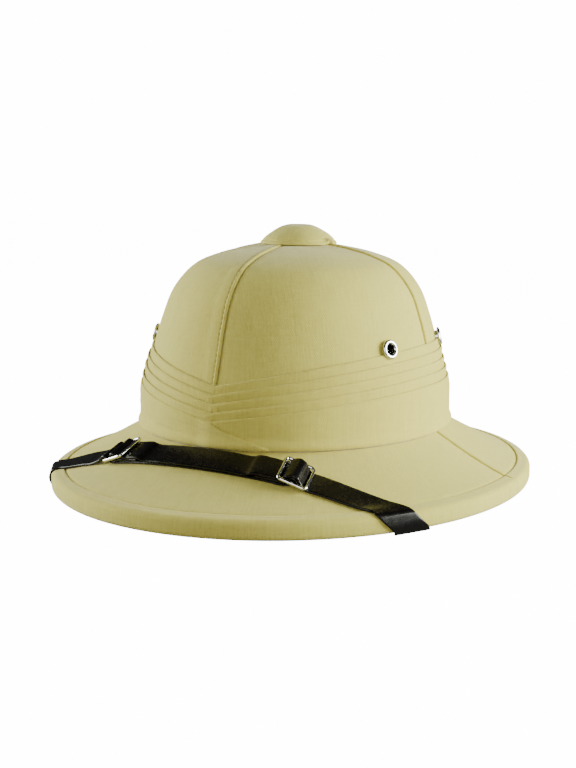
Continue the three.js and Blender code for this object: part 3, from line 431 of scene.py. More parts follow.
def add_piece(name, vertices, faces, material, slot, nodes=(), cloth_map=None, sharp=50):
    """A shown piece in the frame, which rides on the helmet and stands for its CAD nodes."""
    corners = [list(dict.fromkeys(face)) for face in faces.tolist()]
    mesh = bpy.data.meshes.new(name)
    mesh.from_pydata((vertices * MM).tolist(), [], corners)
    if cloth_map is not None:
        layer = mesh.uv_layers.new(name="cloth")
        at = np.empty(len(mesh.loops), dtype=np.int32)
        mesh.loops.foreach_get("vertex_index", at)
        layer.uv.foreach_set("vector", (cloth_map[at] * MM).astype(np.float32).ravel())
    mesh.materials.append(material)
    mesh.polygons.foreach_set("use_smooth", np.ones(len(mesh.polygons), dtype=bool))
    mesh.set_sharp_from_angle(angle=math.radians(sharp))
    piece = in_scene(name, mesh)
    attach(piece, "root")
    if nodes:
        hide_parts(*nodes)
    return piece


def turned(profile, segments):
    """A turned body about +Z from a closed section of (radius, height)."""
    angle = np.linspace(0, 2 * math.pi, segments, endpoint=False)[:, None]
    radius, height = np.array(profile, dtype=float).T
    sections = np.stack([radius * np.cos(angle), radius * np.sin(angle), height + 0 * angle], axis=-1)
    return loop_mesh(sections, around=True)


def set_on_crown(vertices, angle, height):
    """A body turned about +Z, set on the crown with its axis square to the cloth."""
    place, normal = on_crown(outline_share(RIM_BOTTOM + height), math.radians(angle))
    turn = np.array(Vector((0, 0, 1)).rotation_difference(Vector(normal)).to_matrix())
    return vertices @ turn.T + place


def cut_bores(piece, bores):
    """Cuts the eyelets' holes at the angles given, square through a piece of the crown."""
    corners = ((0.004, -1), (BORE_RADIUS, -1), (BORE_RADIUS, 1), (0.004, 1))
    profile = [(out, up * BORE_HALF_DEPTH) for out, up in corners]
    for angle in bores:
        vertices, faces = turned(profile, 48)
        mesh = bpy.data.meshes.new("bore")
        mesh.from_pydata((set_on_crown(vertices, angle, EYELET_HEIGHT) * MM).tolist(), [], faces.tolist())
        cutter = in_scene("bore", mesh)
        cut = piece.modifiers.new("bore", "BOOLEAN")
        cut.operation = "DIFFERENCE"
        cut.solver = "MANIFOLD"
        cut.object = cutter
        bpy.context.view_layer.update()
        result = bpy.data.meshes.new_from_object(piece.evaluated_get(bpy.context.evaluated_depsgraph_get()))
        piece.modifiers.clear()
        old = piece.data
        piece.data = result
        bpy.data.meshes.remove(old)
        bpy.data.objects.remove(cutter)
        bpy.data.meshes.remove(mesh)


def stitches(places, normals, directions):
    """Short threads along a line, as one mesh: a bead of thread at each place."""
    around = np.linspace(0, 2 * math.pi, 6, endpoint=False)
    along = np.linspace(-1, 1, 6)
    thick = np.sqrt(np.clip(1 - along**2, 0.02, 1))
    side = unit(np.cross(normals, directions))
    bodies = []
    for place, normal, direction, across in zip(places, normals, directions, side):
        ring = np.cos(around)[:, None] * across + 0.8 * np.sin(around)[:, None] * normal
        middle = place + along[:, None] * direction * STITCH_LENGTH / 2
        middle = middle - normal * 0.16 * (along**2)[:, None]
        bodies.append(loop_mesh(middle[:, None] + ring[None] * (thick * STITCH_RADIUS)[:, None, None]))
    return joined(*bodies)


# Materials
class Nodes:
    """Short words for adding nodes to a tree and joining them."""

    def __init__(self, tree):
        self.tree = tree

    def add(self, kind, inputs=None, **settings):
        node = self.tree.nodes.new("ShaderNode" + kind)
        for key, value in settings.items():
            setattr(node, key, value)
        for key, value in (inputs or {}).items():
            self.put(node.inputs[key], value)
        return node

    def put(self, socket, value):
        if isinstance(value, bpy.types.NodeSocket):
            self.tree.links.new(value, socket)
        else:
            socket.default_value = value

    def math(self, operation, first, second=0.0):
        return self.add("Math", {0: first, 1: second}, operation=operation).outputs[0]

    def noise(self, vector, scale, detail=2.0, roughness=0.5):
        inputs = {"Vector": vector, "Scale": scale, "Detail": detail, "Roughness": roughness}
        return self.add("TexNoise", inputs).outputs["Fac"]

    def stretch(self, vector, scale):
        return self.add("Mapping", {"Vector": vector, "Scale": scale}).outputs["Vector"]

    def span(self, value, low, high, to_low, to_high):
        inputs = {"Value": value, "From Min": low, "From Max": high, "To Min": to_low, "To Max": to_high}
        return self.add("MapRange", inputs).outputs["Result"]

    def blend(self, factor, first, second):
        node = self.add("Mix", data_type="RGBA")
        self.put(node.inputs["Factor"], factor)
        self.put(node.inputs["A"], first)
        self.put(node.inputs["B"], second)
        return node.outputs["Result"]


def group_tree(name, inputs, outputs):
    """A new shader node group with its sockets, given as (name, kind, value) and (name, kind)."""
    tree = bpy.data.node_groups.new(name, "ShaderNodeTree")
    for socket_name, kind, value in inputs:
        socket = tree.interface.new_socket(socket_name, in_out="INPUT", socket_type="NodeSocket" + kind)
        if value is not None:
            socket.default_value = value
    for socket_name, kind in outputs:
        tree.interface.new_socket(socket_name, in_out="OUTPUT", socket_type="NodeSocket" + kind)
    nodes = Nodes(tree)
    entry = tree.nodes.new("NodeGroupInput")
    result = tree.nodes.new("NodeGroupOutput")
    return tree, nodes, entry.outputs, result.inputs


def woven_cloth():
    """Drill weave: thread height, streaks along the warp, and slow unevenness of the dye."""
    tree, nodes, given, result = group_tree(
        "woven_cloth",
        [("Vector", "Vector", None), ("Thread", "Float", 0.0006)],
        [("Height", "Float"), ("Streaks", "Float"), ("Dye", "Float")],
    )
    threads = nodes.math("DIVIDE", 1.0, given["Thread"])
    counted = nodes.add("VectorMath", {0: given["Vector"], "Scale": threads}, operation="SCALE")
    parts = nodes.add("SeparateXYZ", {0: counted.outputs["Vector"]})
    warp = nodes.math("SINE", nodes.math("MULTIPLY", parts.outputs["X"], 2 * math.pi))
    weft = nodes.math("SINE", nodes.math("MULTIPLY", parts.outputs["Y"], 2 * math.pi))
    slant = nodes.math("ADD", parts.outputs["X"], nodes.math("MULTIPLY", parts.outputs["Y"], 0.5))
    rib = nodes.math("SINE", nodes.math("MULTIPLY", slant, math.pi))
    streaks = nodes.noise(nodes.stretch(given["Vector"], (900, 60, 1)), 1.0, 3.0, 0.6)
    slubs = nodes.noise(nodes.stretch(given["Vector"], (130, 700, 1)), 1.0, 2.0, 0.6)
    fuzz = nodes.noise(given["Vector"], 2600.0, 2.0, 0.7)
    woven = nodes.math("ADD", nodes.math("MULTIPLY", warp, 0.3), nodes.math("MULTIPLY", weft, 0.2))
    woven = nodes.math("ADD", woven, nodes.math("MULTIPLY", rib, 0.3))
    woven = nodes.math("ADD", woven, nodes.math("MULTIPLY", streaks, 1.2))
    woven = nodes.math("ADD", woven, nodes.math("MULTIPLY", slubs, 0.7))
    nodes.put(result["Height"], nodes.math("ADD", woven, nodes.math("MULTIPLY", fuzz, 0.5)))
    both = nodes.math("ADD", nodes.math("MULTIPLY", streaks, 0.65), nodes.math("MULTIPLY", slubs, 0.35))
    nodes.put(result["Streaks"], nodes.span(both, 0.3, 0.7, 0.0, 1.0))
    nodes.put(result["Dye"], nodes.span(nodes.noise(given["Vector"], 22.0, 3.0, 0.55), 0.3, 0.7, 0.0, 1.0))
    return tree


def fine_grain():
    """Small pits and scuffs for leather, metal and fibre."""
    tree, nodes, given, result = group_tree(
        "fine_grain",
        [("Vector", "Vector", None), ("Scale", "Float", 900.0)],
        [("Height", "Float"), ("Scuffs", "Float")],
    )
    pits = nodes.noise(given["Vector"], given["Scale"], 3.0, 0.6)
    wide = nodes.noise(given["Vector"], nodes.math("MULTIPLY", given["Scale"], 0.12), 4.0, 0.6)
    nodes.put(result["Height"], nodes.math("ADD", pits, nodes.math("MULTIPLY", wide, 0.8)))
    nodes.put(result["Scuffs"], nodes.span(wide, 0.4, 0.7, 0.0, 1.0))
    return tree


WOVEN_CLOTH = woven_cloth()
FINE_GRAIN = fine_grain()


def new_material(name, **constants):
    """A material with one Principled shader whose plain values are set on its own sockets."""
    material = bpy.data.materials.new(name)
    material.use_nodes = True
    nodes = Nodes(material.node_tree)
    shader = material.node_tree.nodes["Principled BSDF"]
    for socket_name, value in constants.items():
        shader.inputs[socket_name.replace("_", " ")].default_value = value
    return material, nodes, shader.inputs


def cloth_material(name, colour, shaded, faded, thread, depth):
    """Cotton drill: a base colour with darker thread gaps and paler rubbed streaks."""
    material, nodes, shader = new_material(
        name, Sheen_Weight=0.25, Sheen_Roughness=0.45, Specular_IOR_Level=0.25)
    where = nodes.add("UVMap", uv_map="cloth").outputs["UV"]
    weave = nodes.add("Group", node_tree=WOVEN_CLOTH)
    nodes.put(weave.inputs["Vector"], where)
    nodes.put(weave.inputs["Thread"], thread)
    dyed = nodes.blend(weave.outputs["Dye"], shaded, colour)
    streaked = nodes.blend(nodes.math("MULTIPLY", weave.outputs["Streaks"], 0.65), dyed, faded)
    nodes.put(shader["Base Color"], streaked)
    nodes.put(shader["Roughness"], nodes.span(weave.outputs["Streaks"], 0.0, 1.0, 0.82, 0.94))
    bump = nodes.add("Bump", {"Height": weave.outputs["Height"], "Strength": 0.55, "Distance": depth})
    nodes.put(shader["Normal"], bump.outputs["Normal"])
    return material


def grained_material(name, colour, scuffed, rough, scale, depth, strength=0.3, **constants):
    """Leather, metal or fibre: a base colour with scuffs, uneven gloss and a fine grain."""
    material, nodes, shader = new_material(name, **constants)
    where = nodes.add("TexCoord").outputs["Object"]
    grain = nodes.add("Group", node_tree=FINE_GRAIN)
    nodes.put(grain.inputs["Vector"], where)
    nodes.put(grain.inputs["Scale"], scale)
    nodes.put(shader["Base Color"], nodes.blend(grain.outputs["Scuffs"], colour, scuffed))
    nodes.put(shader["Roughness"], nodes.span(grain.outputs["Scuffs"], 0.0, 1.0, *rough))
    bump = nodes.add("Bump", {"Height": grain.outputs["Height"], "Strength": strength, "Distance": depth})
    nodes.put(shader["Normal"], bump.outputs["Normal"])
    return material


COVER_FINISH = cloth_material(
    "khaki_drill", (0.53, 0.475, 0.085, 1), (0.505, 0.43, 0.078, 1), (0.66, 0.60, 0.14, 1), 0.0006, 0.00014)
BAND_FINISH = cloth_material(
    "khaki_band_cotton", (0.515, 0.455, 0.08, 1), (0.485, 0.41, 0.072, 1), (0.64, 0.575, 0.13, 1),
    0.0005, 0.00012)
SHELL_FIBRE = grained_material(
    "moulded_fibre", (0.60, 0.51, 0.33, 1), (0.50, 0.41, 0.25, 1), (0.8, 0.95), 700.0, 0.0004, 0.7)
PATENT_LEATHER = grained_material(
    "patent_leather", (0.002, 0.0017, 0.0017, 1), (0.0035, 0.003, 0.003, 1), (0.22, 0.3), 1500.0, 0.00002,
    Coat_Weight=0.1, Coat_Roughness=0.12, Specular_IOR_Level=0.22)
BRIGHT_METAL = grained_material(
    "polished_chrome", (0.78, 0.79, 0.78, 1), (0.62, 0.62, 0.6, 1), (0.1, 0.22), 1200.0, 0.00001,
    Metallic=1.0)
SEWING_THREAD = grained_material(
    "sewing_thread", (0.20, 0.17, 0.045, 1), (0.26, 0.22, 0.06, 1), (0.7, 0.85), 5000.0, 0.00005, 0.6)


FLOOR_GLOW = 15.0


def lit_floor():
    """A white floor, lit through as a light table is; the glow is for the eye alone and lights nothing."""
    material, nodes, shader = new_material("white_floor", Roughness=0.9)
    grain = nodes.add("Group", node_tree=FINE_GRAIN)
    nodes.put(grain.inputs["Vector"], nodes.add("TexCoord").outputs["Object"])
    nodes.put(grain.inputs["Scale"], 20.0)
    scuffed = nodes.blend(grain.outputs["Scuffs"], (0.2, 0.2, 0.2, 1), (0.18, 0.18, 0.18, 1))
    nodes.put(shader["Base Color"], scuffed)
    seen = nodes.add("LightPath").outputs["Is Camera Ray"]
    strength = nodes.math("MULTIPLY", seen, FLOOR_GLOW)
    glow = nodes.add("Emission", {"Color": (1, 1, 1, 1), "Strength": strength})
    tree = material.node_tree
    both = nodes.add("AddShader", {0: tree.nodes["Principled BSDF"].outputs[0], 1: glow.outputs[0]})
    nodes.put(tree.nodes["Material Output"].inputs["Surface"], both.outputs[0])
    return material


# Crown
PANEL_END_SHARE = outline_share_at_radius(PANEL_END_RADIUS)
VENT_SHARE = outline_share_at_radius(VENT_RADIUS)
SEAM_DISTANCES = np.array([distance for distance, lift in SEAM_OVER])
SEAM_LIFTS = {"over": np.array([lift for distance, lift in SEAM_OVER]),
              "under": np.array([lift for distance, lift in SEAM_UNDER])}


def crown_arc(share, angle):
    """Millimetres round the crown for each radian."""
    return crown_oval(share)[0] * np.sqrt(np.cos(angle) ** 2 + (CROWN_STRETCH * np.sin(angle)) ** 2)


def seamed_angles(start, end, arc_at_start, arc_at_end, middle_count):
    """Columns of angles between two seams, close together near each seam; radians, a row for each arc."""
    first = start + SEAM_DISTANCES / arc_at_start
    last = end - SEAM_DISTANCES[::-1] / arc_at_end
    share = np.linspace(0, 1, middle_count + 2)[1:-1]
    return np.hstack([first, mix(first[:, -1:], last[:, :1], share), last])


def seamed_lifts(start_kind, end_kind, middle_count):
    return np.concatenate([SEAM_LIFTS[start_kind], np.zeros(middle_count), SEAM_LIFTS[end_kind][::-1]])


PANEL_COLUMNS = 44
PANEL_ROWS = 96


def crown_panel(name, node, start, end, kinds, bores):
    start, end = math.radians(start), math.radians(end)
    share = np.linspace(0.01, PANEL_END_SHARE, PANEL_ROWS)[:, None]
    angle = seamed_angles(start, end, crown_arc(share, start), crown_arc(share, end), PANEL_COLUMNS)
    lift = seamed_lifts(*kinds, PANEL_COLUMNS) + 0 * angle
    flat, normal = on_crown(share, angle)
    outer = flat + normal * (lift + waves(flat, CROWN_WAVES))[..., None]
    inner = flat - normal * CLOTH
    half_way = (start + end) / 2
    across = (angle - half_way) * crown_arc(share, half_way)
    cloth_map = np.tile(flat_map(across, share * outline.length), (2, 1))
    piece = add_piece(name, *wall_mesh(outer, inner), COVER_FINISH, "cover_cloth", [node], cloth_map)
    cut_bores(piece, bores)


def seam_stitches(seam, over_side, first_height):
    """Places, normals and directions of the stitches along a crown seam, on the side that lies over."""
    seam = math.radians(seam)
    top = outline_share_at_radius(CAP_RADIUS - 2)
    low = outline_share(first_height)
    count = int((top - low) * outline.length / STITCH_PITCH)
    share = np.linspace(low, top, count)
    angle = seam + over_side * STITCH_INSET / crown_arc(share, seam)
    places, normals = on_crown(share, angle, 0.3)
    ahead, unused = on_crown(share + 0.005, angle, 0.3)
    return places, normals, unit(ahead - places)


# Brim
def brim_columns(start, end, count):
    arc = np.array([[(BRIM_HALF_WIDTH + CROWN_HALF_WIDTH) / 2]])
    return seamed_angles(math.radians(start), math.radians(end), arc, arc, count)[0]


def brim_share_in(inset, angle):
    """Share of the way across the brim at a distance in from its edge."""
    across = BRIM_HALF_WIDTH - RIM_ROUND - CROWN_HALF_WIDTH
    along = BRIM_HALF_LENGTH - RIM_ROUND - CROWN_HALF_LENGTH
    breadth = np.hypot(across * np.sin(angle), along * np.cos(angle))
    return 1 - (inset - RIM_ROUND) / breadth


RIM_TOP_TURNS = (78, 64, 50, 36, 22, 8)
RIM_LOW_TURNS = (0, -15, -30, -45, -60, -75, -90)
HEM_INSETS = (2, 4, 6, HEM_WIDTH)
BRIM_COLUMNS = 150
BRIM_SEAM_SHARE = 0.75


def hem_rows(angle, lift, fading):
    """Rows round the rim and under it; a fading lift of 1 has gone at the underside, one of 0 stays."""
    rows = [on_rim("top", turn, angle, lift) for turn in RIM_TOP_TURNS]
    rows += [on_rim("bottom", turn, angle, lift * (1 + fading * turn / 90)) for turn in RIM_LOW_TURNS]
    rows += [under_rim(EDGE_ROUND + inset, angle, lift * (1 - fading)) for inset in HEM_INSETS]
    return np.array(rows)


def brim_cover(name, node, start, end, kind):
    angle = brim_columns(start, end, BRIM_COLUMNS)
    seam_lift = seamed_lifts(kind, kind, BRIM_COLUMNS) * BRIM_SEAM_SHARE
    insets = np.array([inset for inset, lift in BINDING_PROFILE])
    edge_lifts = np.array([lift for inset, lift in BINDING_PROFILE])
    first = brim_share_in(insets[0], angle)
    inward = [mix(0.009, first, share) for share in np.linspace(0, 1, 26)[:-1]]
    share = np.array(inward + [brim_share_in(inset, angle) for inset in insets])
    profile = np.concatenate([np.zeros(len(inward)), edge_lifts])[:, None]
    flat, normal = on_brim(share, angle)
    puckers = waves(flat, EDGE_PUCKERS) * np.exp(-np.abs(profile) * 0.5)
    bound = np.clip(profile, 0, 1) / 0.5
    lift = profile + seam_lift * (1 - 0.4 * bound) + waves(flat, BRIM_WAVES) + puckers
    uneven = waves(on_rim("top", 0, angle, 0), RIM_WAVES)
    outer = np.concatenate([flat + normal * lift[..., None], hem_rows(angle, RIM_LIFT + uneven, 1)])
    inner = np.concatenate([on_brim(share, angle, -CLOTH)[0], hem_rows(angle, -CLOTH, 0)])
    across = angle * (BRIM_HALF_LENGTH + CROWN_HALF_LENGTH) / 2
    along = run_length(outer[:, len(angle) // 2])
    cloth_map = np.tile(flat_map(across, along[:, None]), (2, 1))
    piece = add_piece(name, *wall_mesh(outer, inner), COVER_FINISH, "cover_cloth", [node], cloth_map)


# Moulded shell
def shell_body():
    angle = np.radians(np.linspace(0, 360, 180, endpoint=False))
    rows = np.linspace(0.03, VENT_SHARE, 60)
    crown_out = [on_crown(share, angle, -COVER_DEPTH)[0] for share in rows[::-1]]
    top = [on_brim(share, angle, -COVER_DEPTH)[0] for share in (0.02, 0.2, 0.4, 0.6, 0.8, 1)]
    edge = [on_rim("top", turn, angle, -COVER_DEPTH) for turn in (60, 30, 0)]
    edge += [on_rim("bottom", turn, angle, -COVER_DEPTH) for turn in (0, -30, -60, -90)]
    edge += [under_rim(EDGE_ROUND + inset, angle, -COVER_DEPTH) for inset in (3, 6, HEM_WIDTH + GAP)]
    full = RIM_HEIGHT - 2 * COVER_DEPTH
    half_way = mix(BRIM_ROOT_THICKNESS, full, 0.4)
    steps = smooth_path([(0.7, full), (0.35, half_way), (0, BRIM_ROOT_THICKNESS)], 7)
    below = [on_brim(share, angle, -COVER_DEPTH - core)[0] for share, core in steps]
    inner_rows = np.linspace(0.1, VENT_SHARE, 70)
    crown_in = [on_crown(share, angle, -COVER_DEPTH - SHELL_WALL)[0] for share in inner_rows]
    sections = np.swapaxes(np.array([*crown_out, *top, *edge, *below, *crown_in]), 0, 1)
    body = loop_mesh(sections, around=True)
    piece = add_piece("shell_moulding", *body, SHELL_FIBRE, "shell_fibre", ["helmet_shell"], sharp=60)
    cut_bores(piece, [side * angle for side in (1, -1) for angle in EYELET_ANGLES.values()])


# Pleated band
def plain_lift(height, angle):
    """Lift of the band's plain lower half at a height."""
    up = np.array([FOOT + distance for distance, lift in BASE_FOLD])
    lift = np.interp(height, up, [lift for distance, lift in BASE_FOLD])
    lowest = fold_height(PLEAT_COUNT - 1, angle)
    share = np.clip((height - up[-1]) / (lowest - up[-1]), 0, 1)
    crest = BAND_CLOTH + PLEAT_SPREAD * (PLEAT_COUNT - 1) + PLEAT_RISE
    return lift + (crest - BASE_FOLD[-1][1]) * share**1.6


def plain_heights(top, angle):
    """Heights of the plain half's rows, from the base fold up to a folded edge."""
    base = [FOOT + distance + 0 * angle for distance, lift in BASE_FOLD]
    room = np.clip((top - FOOT) / 12, 0, 1)
    base = [FOOT + (row - FOOT) * room for row in base]
    rise = [mix(base[-1], top - 1.5 * room, share) for share in np.linspace(0, 1, 30)[1:]]
    return np.array(base + rise)


# A folded edge as (down from its top, back from its crest), and the slot behind it
FOLD_PROFILE = [
    (0.9, 0.01), (0.6, 0.05), (0.34, 0.13), (0.14, 0.26), (0.02, 0.42), (0, 0.54), (0.1, 0.64), (0.4, 0.68),
]
SLOT_DEPTH = 2.1


def folded_edge(top, crest, back):
    """Heights and lifts over a folded edge: round it and down into the slot behind it."""
    steps = [(down, crest - drop) for down, drop in FOLD_PROFILE]
    steps += [
        (SLOT_DEPTH * 0.8, back + 0.45), (SLOT_DEPTH, back + 0.25), (SLOT_DEPTH, back + 0.05),
        (SLOT_DEPTH * 0.6, back),
    ]
    return [(top - down, lift + 0 * top) for down, lift in steps]


def fold_lifts(fold):
    """Lift of the cloth behind a fold and of the fold's crest."""
    if fold == 0:
        return BAND_GAP, BAND_CLOTH + BAND_GAP
    return BAND_CLOTH + PLEAT_SPREAD * (fold - 1), BAND_CLOTH + PLEAT_SPREAD * fold + PLEAT_RISE


def pleat_rows(angle):
    """Heights and lifts of the pleats above the plain half, from the lowest fold to the band's top."""
    heights, lifts = [], []
    for fold in range(PLEAT_COUNT - 1, 0, -1):
        low, crest = fold_lifts(fold)
        edge = folded_edge(fold_height(fold, angle), crest, low)
        heights += [height for height, lift in edge]
        lifts += [lift for height, lift in edge]
        next_crest = fold_lifts(fold - 1)[1]
        for share in (0.03, 0.15, 0.35, 0.6, 0.85, 1):
            heights.append(mix(fold_height(fold, angle), fold_height(fold - 1, angle) - 1.5, share))
            lifts.append(mix(low, next_crest, share**1.2) + 0 * angle)
    top = fold_height(0, angle)
    crest = fold_lifts(0)[1]
    for down, drop in ((0.9, 0), (0.5, 0.07), (0.2, 0.22), (0.04, 0.45), (0, 0.8)):
        heights.append(top - down)
        lifts.append(crest - drop + 0 * angle)
    return np.array(heights), np.array(lifts)


PLEAT_END_START = -4
PLEAT_END_ROUND = 1.2
PLEAT_END_SLOPE = 0.19
PLEAT_END_PROUD = 0.34


def pleat_end(fold, side, reach):
    """The end of one pleat where it crosses the front, drawn over the other side's pleats."""
    low, crest = fold_lifts(fold)
    straight = reach - PLEAT_END_ROUND
    rounded = straight + PLEAT_END_ROUND * np.sin(np.linspace(0.2, 1.57, 8))
    along = np.concatenate([np.linspace(PLEAT_END_START, straight, 12), rounded])
    angle = side * along / CROWN_HALF_LENGTH

    def edge(at_fold):
        past = fold_height(at_fold, 0.0) - PLEAT_END_SLOPE * along
        return np.where(along < 0, fold_height(at_fold, angle), past)

    top = edge(fold)
    bottom = top - 4.5 if fold == PLEAT_COUNT - 1 else edge(fold + 1) - 0.6
    left = np.clip((reach - along) / PLEAT_END_ROUND, 0, 1)
    risen = np.clip((along - PLEAT_END_START) / 3, 0, 1)
    proud = PLEAT_END_PROUD * risen * np.sqrt(np.clip(1 - (1 - left) ** 2, 0, 1))
    rows, lifts = [], []
    for share in np.linspace(0, 1, 8):
        rows.append(mix(bottom, top - 1.1, share))
        lifts.append(mix(low + 0.1, crest, share**1.2) - 0.25 + proud)
    for down, drop in FOLD_PROFILE[1:]:
        rows.append(top - down)
        lifts.append(crest - drop - 0.25 * (down > 0) + proud)
    for share in (1, 0.66, 0.33, 0):
        rows.append(mix(bottom, top - 0.4, share))
        lifts.append(low - 0.2 + 0 * proud)
    sections = np.swapaxes(on_wall(np.array(rows), angle, np.array(lifts)), 0, 1)
    cloth_map = flat_map(angle[:, None] * BAND_RADIUS + 50, np.array(rows).T)
    return loop_mesh(sections), np.concatenate([cloth_map, cloth_map[[0, -1]]])


# Which pleats end over the other side's, as (fold, reach past the middle)
LEFT_PLEAT_ENDS = [(1, 4.6), (3, 5.2)]
RIGHT_PLEAT_ENDS = [(0, 5.4), (2, 4.4), (4, 5.6)]


def band_creases(heights, angle, seed):
    """Slight creases of the band, drawn out along it."""
    along = angle * 105 + 0 * heights
    stretched = np.stack([along / 2.6, heights, 0 * along], axis=-1)
    return 0.5 * ripple(stretched, 6, seed) + 0.45 * ripple(stretched, 15, seed + 1)


def lap_creases(heights, angle):
    """Dents along the lap's few longer creases, each with a slight roll above it."""
    turn = np.degrees(angle)
    dent = 0 * heights
    for first, first_up, last, last_up, depth in LAP_CREASES:
        share = (turn - first) / (last - first)
        fade = np.clip(4 * np.minimum(share, 1 - share), 0, 1)
        off = (heights - FOOT - mix(first_up, last_up, share)) / CREASE_WIDTH
        dent += depth * fade * (0.5 * np.exp(-((off - 1.6) ** 2)) - np.exp(-(off**2)))
    return dent


def band_mesh(heights, lifts, angle, seed):
    """A closed length of the band from its outer rows, with a plain back."""
    creased = lifts + band_creases(heights, angle, seed) * np.clip(lifts - 1.2, 0, 0.6)
    outer = on_wall(heights, angle, creased)
    backs = [mix(heights[-1], heights[0], share) for share in np.linspace(0.02, 1, 9)]
    inner = np.array([on_wall(height, angle, BAND_GAP) for height in backs])
    sections = np.swapaxes(np.concatenate([outer, inner]), 0, 1)
    run = run_length(outer[:, 0])
    back_run = run[-1] + np.cumsum(np.full(len(backs), 6.0))
    along = np.concatenate([run, back_run])
    cloth_map = flat_map(angle[:, None] * BAND_RADIUS, along[None])
    return loop_mesh(sections), np.concatenate([cloth_map, cloth_map[[0, -1]]]), outer


def left_wrap(bores):
    angle = np.radians(np.linspace(*BAND_ENDS, BAND_COLUMNS))
    lowest = fold_height(PLEAT_COUNT - 1, angle)
    plain = plain_heights(lowest, angle)
    upper, upper_lifts = pleat_rows(angle)
    heights = np.concatenate([plain, upper])
    lifts = np.concatenate([plain_lift(plain, angle), upper_lifts])
    body, cloth_map, outer = band_mesh(heights, lifts, angle, 11)
    ends = [pleat_end(fold, -1, reach) for fold, reach in LEFT_PLEAT_ENDS]
    whole = joined(body, *[mesh for mesh, places in ends])
    cloth_map = np.concatenate([cloth_map, *[places for mesh, places in ends]])
    piece = add_piece(
        "band_wrap_left", *whole, BAND_FINISH, "band_cloth", ["puggaree_left"], cloth_map, 70)
    cut_bores(piece, bores)


def right_wrap(bores):
    """The outer wrap: pleats from the back to the front, and a plain half that laps over the left wrap."""
    angle = -np.radians(np.linspace(*BAND_ENDS, BAND_COLUMNS))
    upper, upper_lifts = pleat_rows(angle)
    pleats, pleat_map, pleat_grid = band_mesh(upper[6:], upper_lifts[6:], angle, 21)

    lap = np.radians([place for place, height in LAP_EDGE])
    first, last = LAP_EDGE[0][0], LAP_EDGE[-1][0]
    lap_turn = np.concatenate([np.linspace(-BAND_ENDS[1], first - 0.5, 210), np.linspace(first, last, 90)])
    lap_angle = np.radians(lap_turn)
    lap_top = RIM_BOTTOM + np.interp(lap_angle, lap, [height for place, height in LAP_EDGE])
    top = np.where(lap_angle < lap[0], fold_height(PLEAT_COUNT - 1, lap_angle), lap_top)
    over = np.clip((np.degrees(lap_angle) + 7) / 7, 0, 1)
    over = over * over * (3 - 2 * over)
    thin = np.clip((22.5 - np.degrees(lap_angle)) / 5, 0, 1)
    heights = plain_heights(top, lap_angle)
    lifts = plain_lift(heights, lap_angle) + over * LAP_CLOTH * thin + lap_creases(heights, lap_angle)
    crest = lifts[-1]
    heights = np.concatenate([heights, [top - down for down, drop in FOLD_PROFILE]])
    lifts = np.concatenate([lifts, [crest - drop for down, drop in FOLD_PROFILE]])
    plain, plain_map, plain_grid = band_mesh(heights, lifts, lap_angle, 31)
    ends = [pleat_end(fold, 1, reach) for fold, reach in RIGHT_PLEAT_ENDS]
    whole = joined(pleats, plain, *[mesh for mesh, places in ends])
    cloth_map = np.concatenate([pleat_map, plain_map, *[places for mesh, places in ends]])
    piece = add_piece(
        "band_wrap_right", *whole, BAND_FINISH, "band_cloth", ["puggaree_right"], cloth_map, 70)
    cut_bores(piece, bores)


# Vent cap and collar
def vent_cap():
    """Padded cap: a turned dome with a hem, a notch at each side and slight unevenness."""
    outer = smooth_path(CAP_OUTER, 9)
    inner = smooth_path(CAP_INNER, 7)
    profile = np.concatenate([outer, inner])
    profile[:, 0] = np.maximum(profile[:, 0] * CAP_RADIUS, 0.02)
    profile[:, 1] = profile[:, 1] * CAP_HEIGHT
    vertices, faces = turned(profile, 128)
    angle = np.arctan2(np.abs(vertices[:, 1]), np.abs(vertices[:, 0]))
    is_outer = np.arange(len(vertices)) % len(profile) < len(outer)
    near = np.clip(1 - angle / math.radians(CAP_NOTCH_ANGLE), 0, 1)
    near = near * near * (3 - 2 * near)
    low = np.clip(1 - vertices[:, 2] / (CAP_HEIGHT * CAP_NOTCH_REACH), 0, 1) * is_outer
    vertices[:, 2] += CAP_NOTCH_HEIGHT * near * low
    outward_way = unit(vertices - np.array([0, 0, -20]))
    radius = np.hypot(vertices[:, 0], vertices[:, 1])
    from_hem = (vertices[:, 2] - CAP_HEM_HEIGHT) / CAP_HEM_WIDTH
    hem = np.exp(-(from_hem**2)) * (radius > CAP_RADIUS * 0.85)
    uneven = waves(vertices, CAP_WAVES) - CAP_HEM_DEPTH * hem
    vertices += outward_way * (uneven * is_outer)[:, None]
    turn = math.radians(CAP_TURN)
    vertices = vertices @ np.array(Matrix.Rotation(-turn, 3, "Z"))
    vertices[:, 2] += CAP_LOW[2]
    cloth_map = vertices[:, :2] * np.array([1.0, 1.15])
    piece = add_piece("cap_padded", vertices, faces, COVER_FINISH, "cover_cloth", ["vent_cap"], cloth_map, 60)


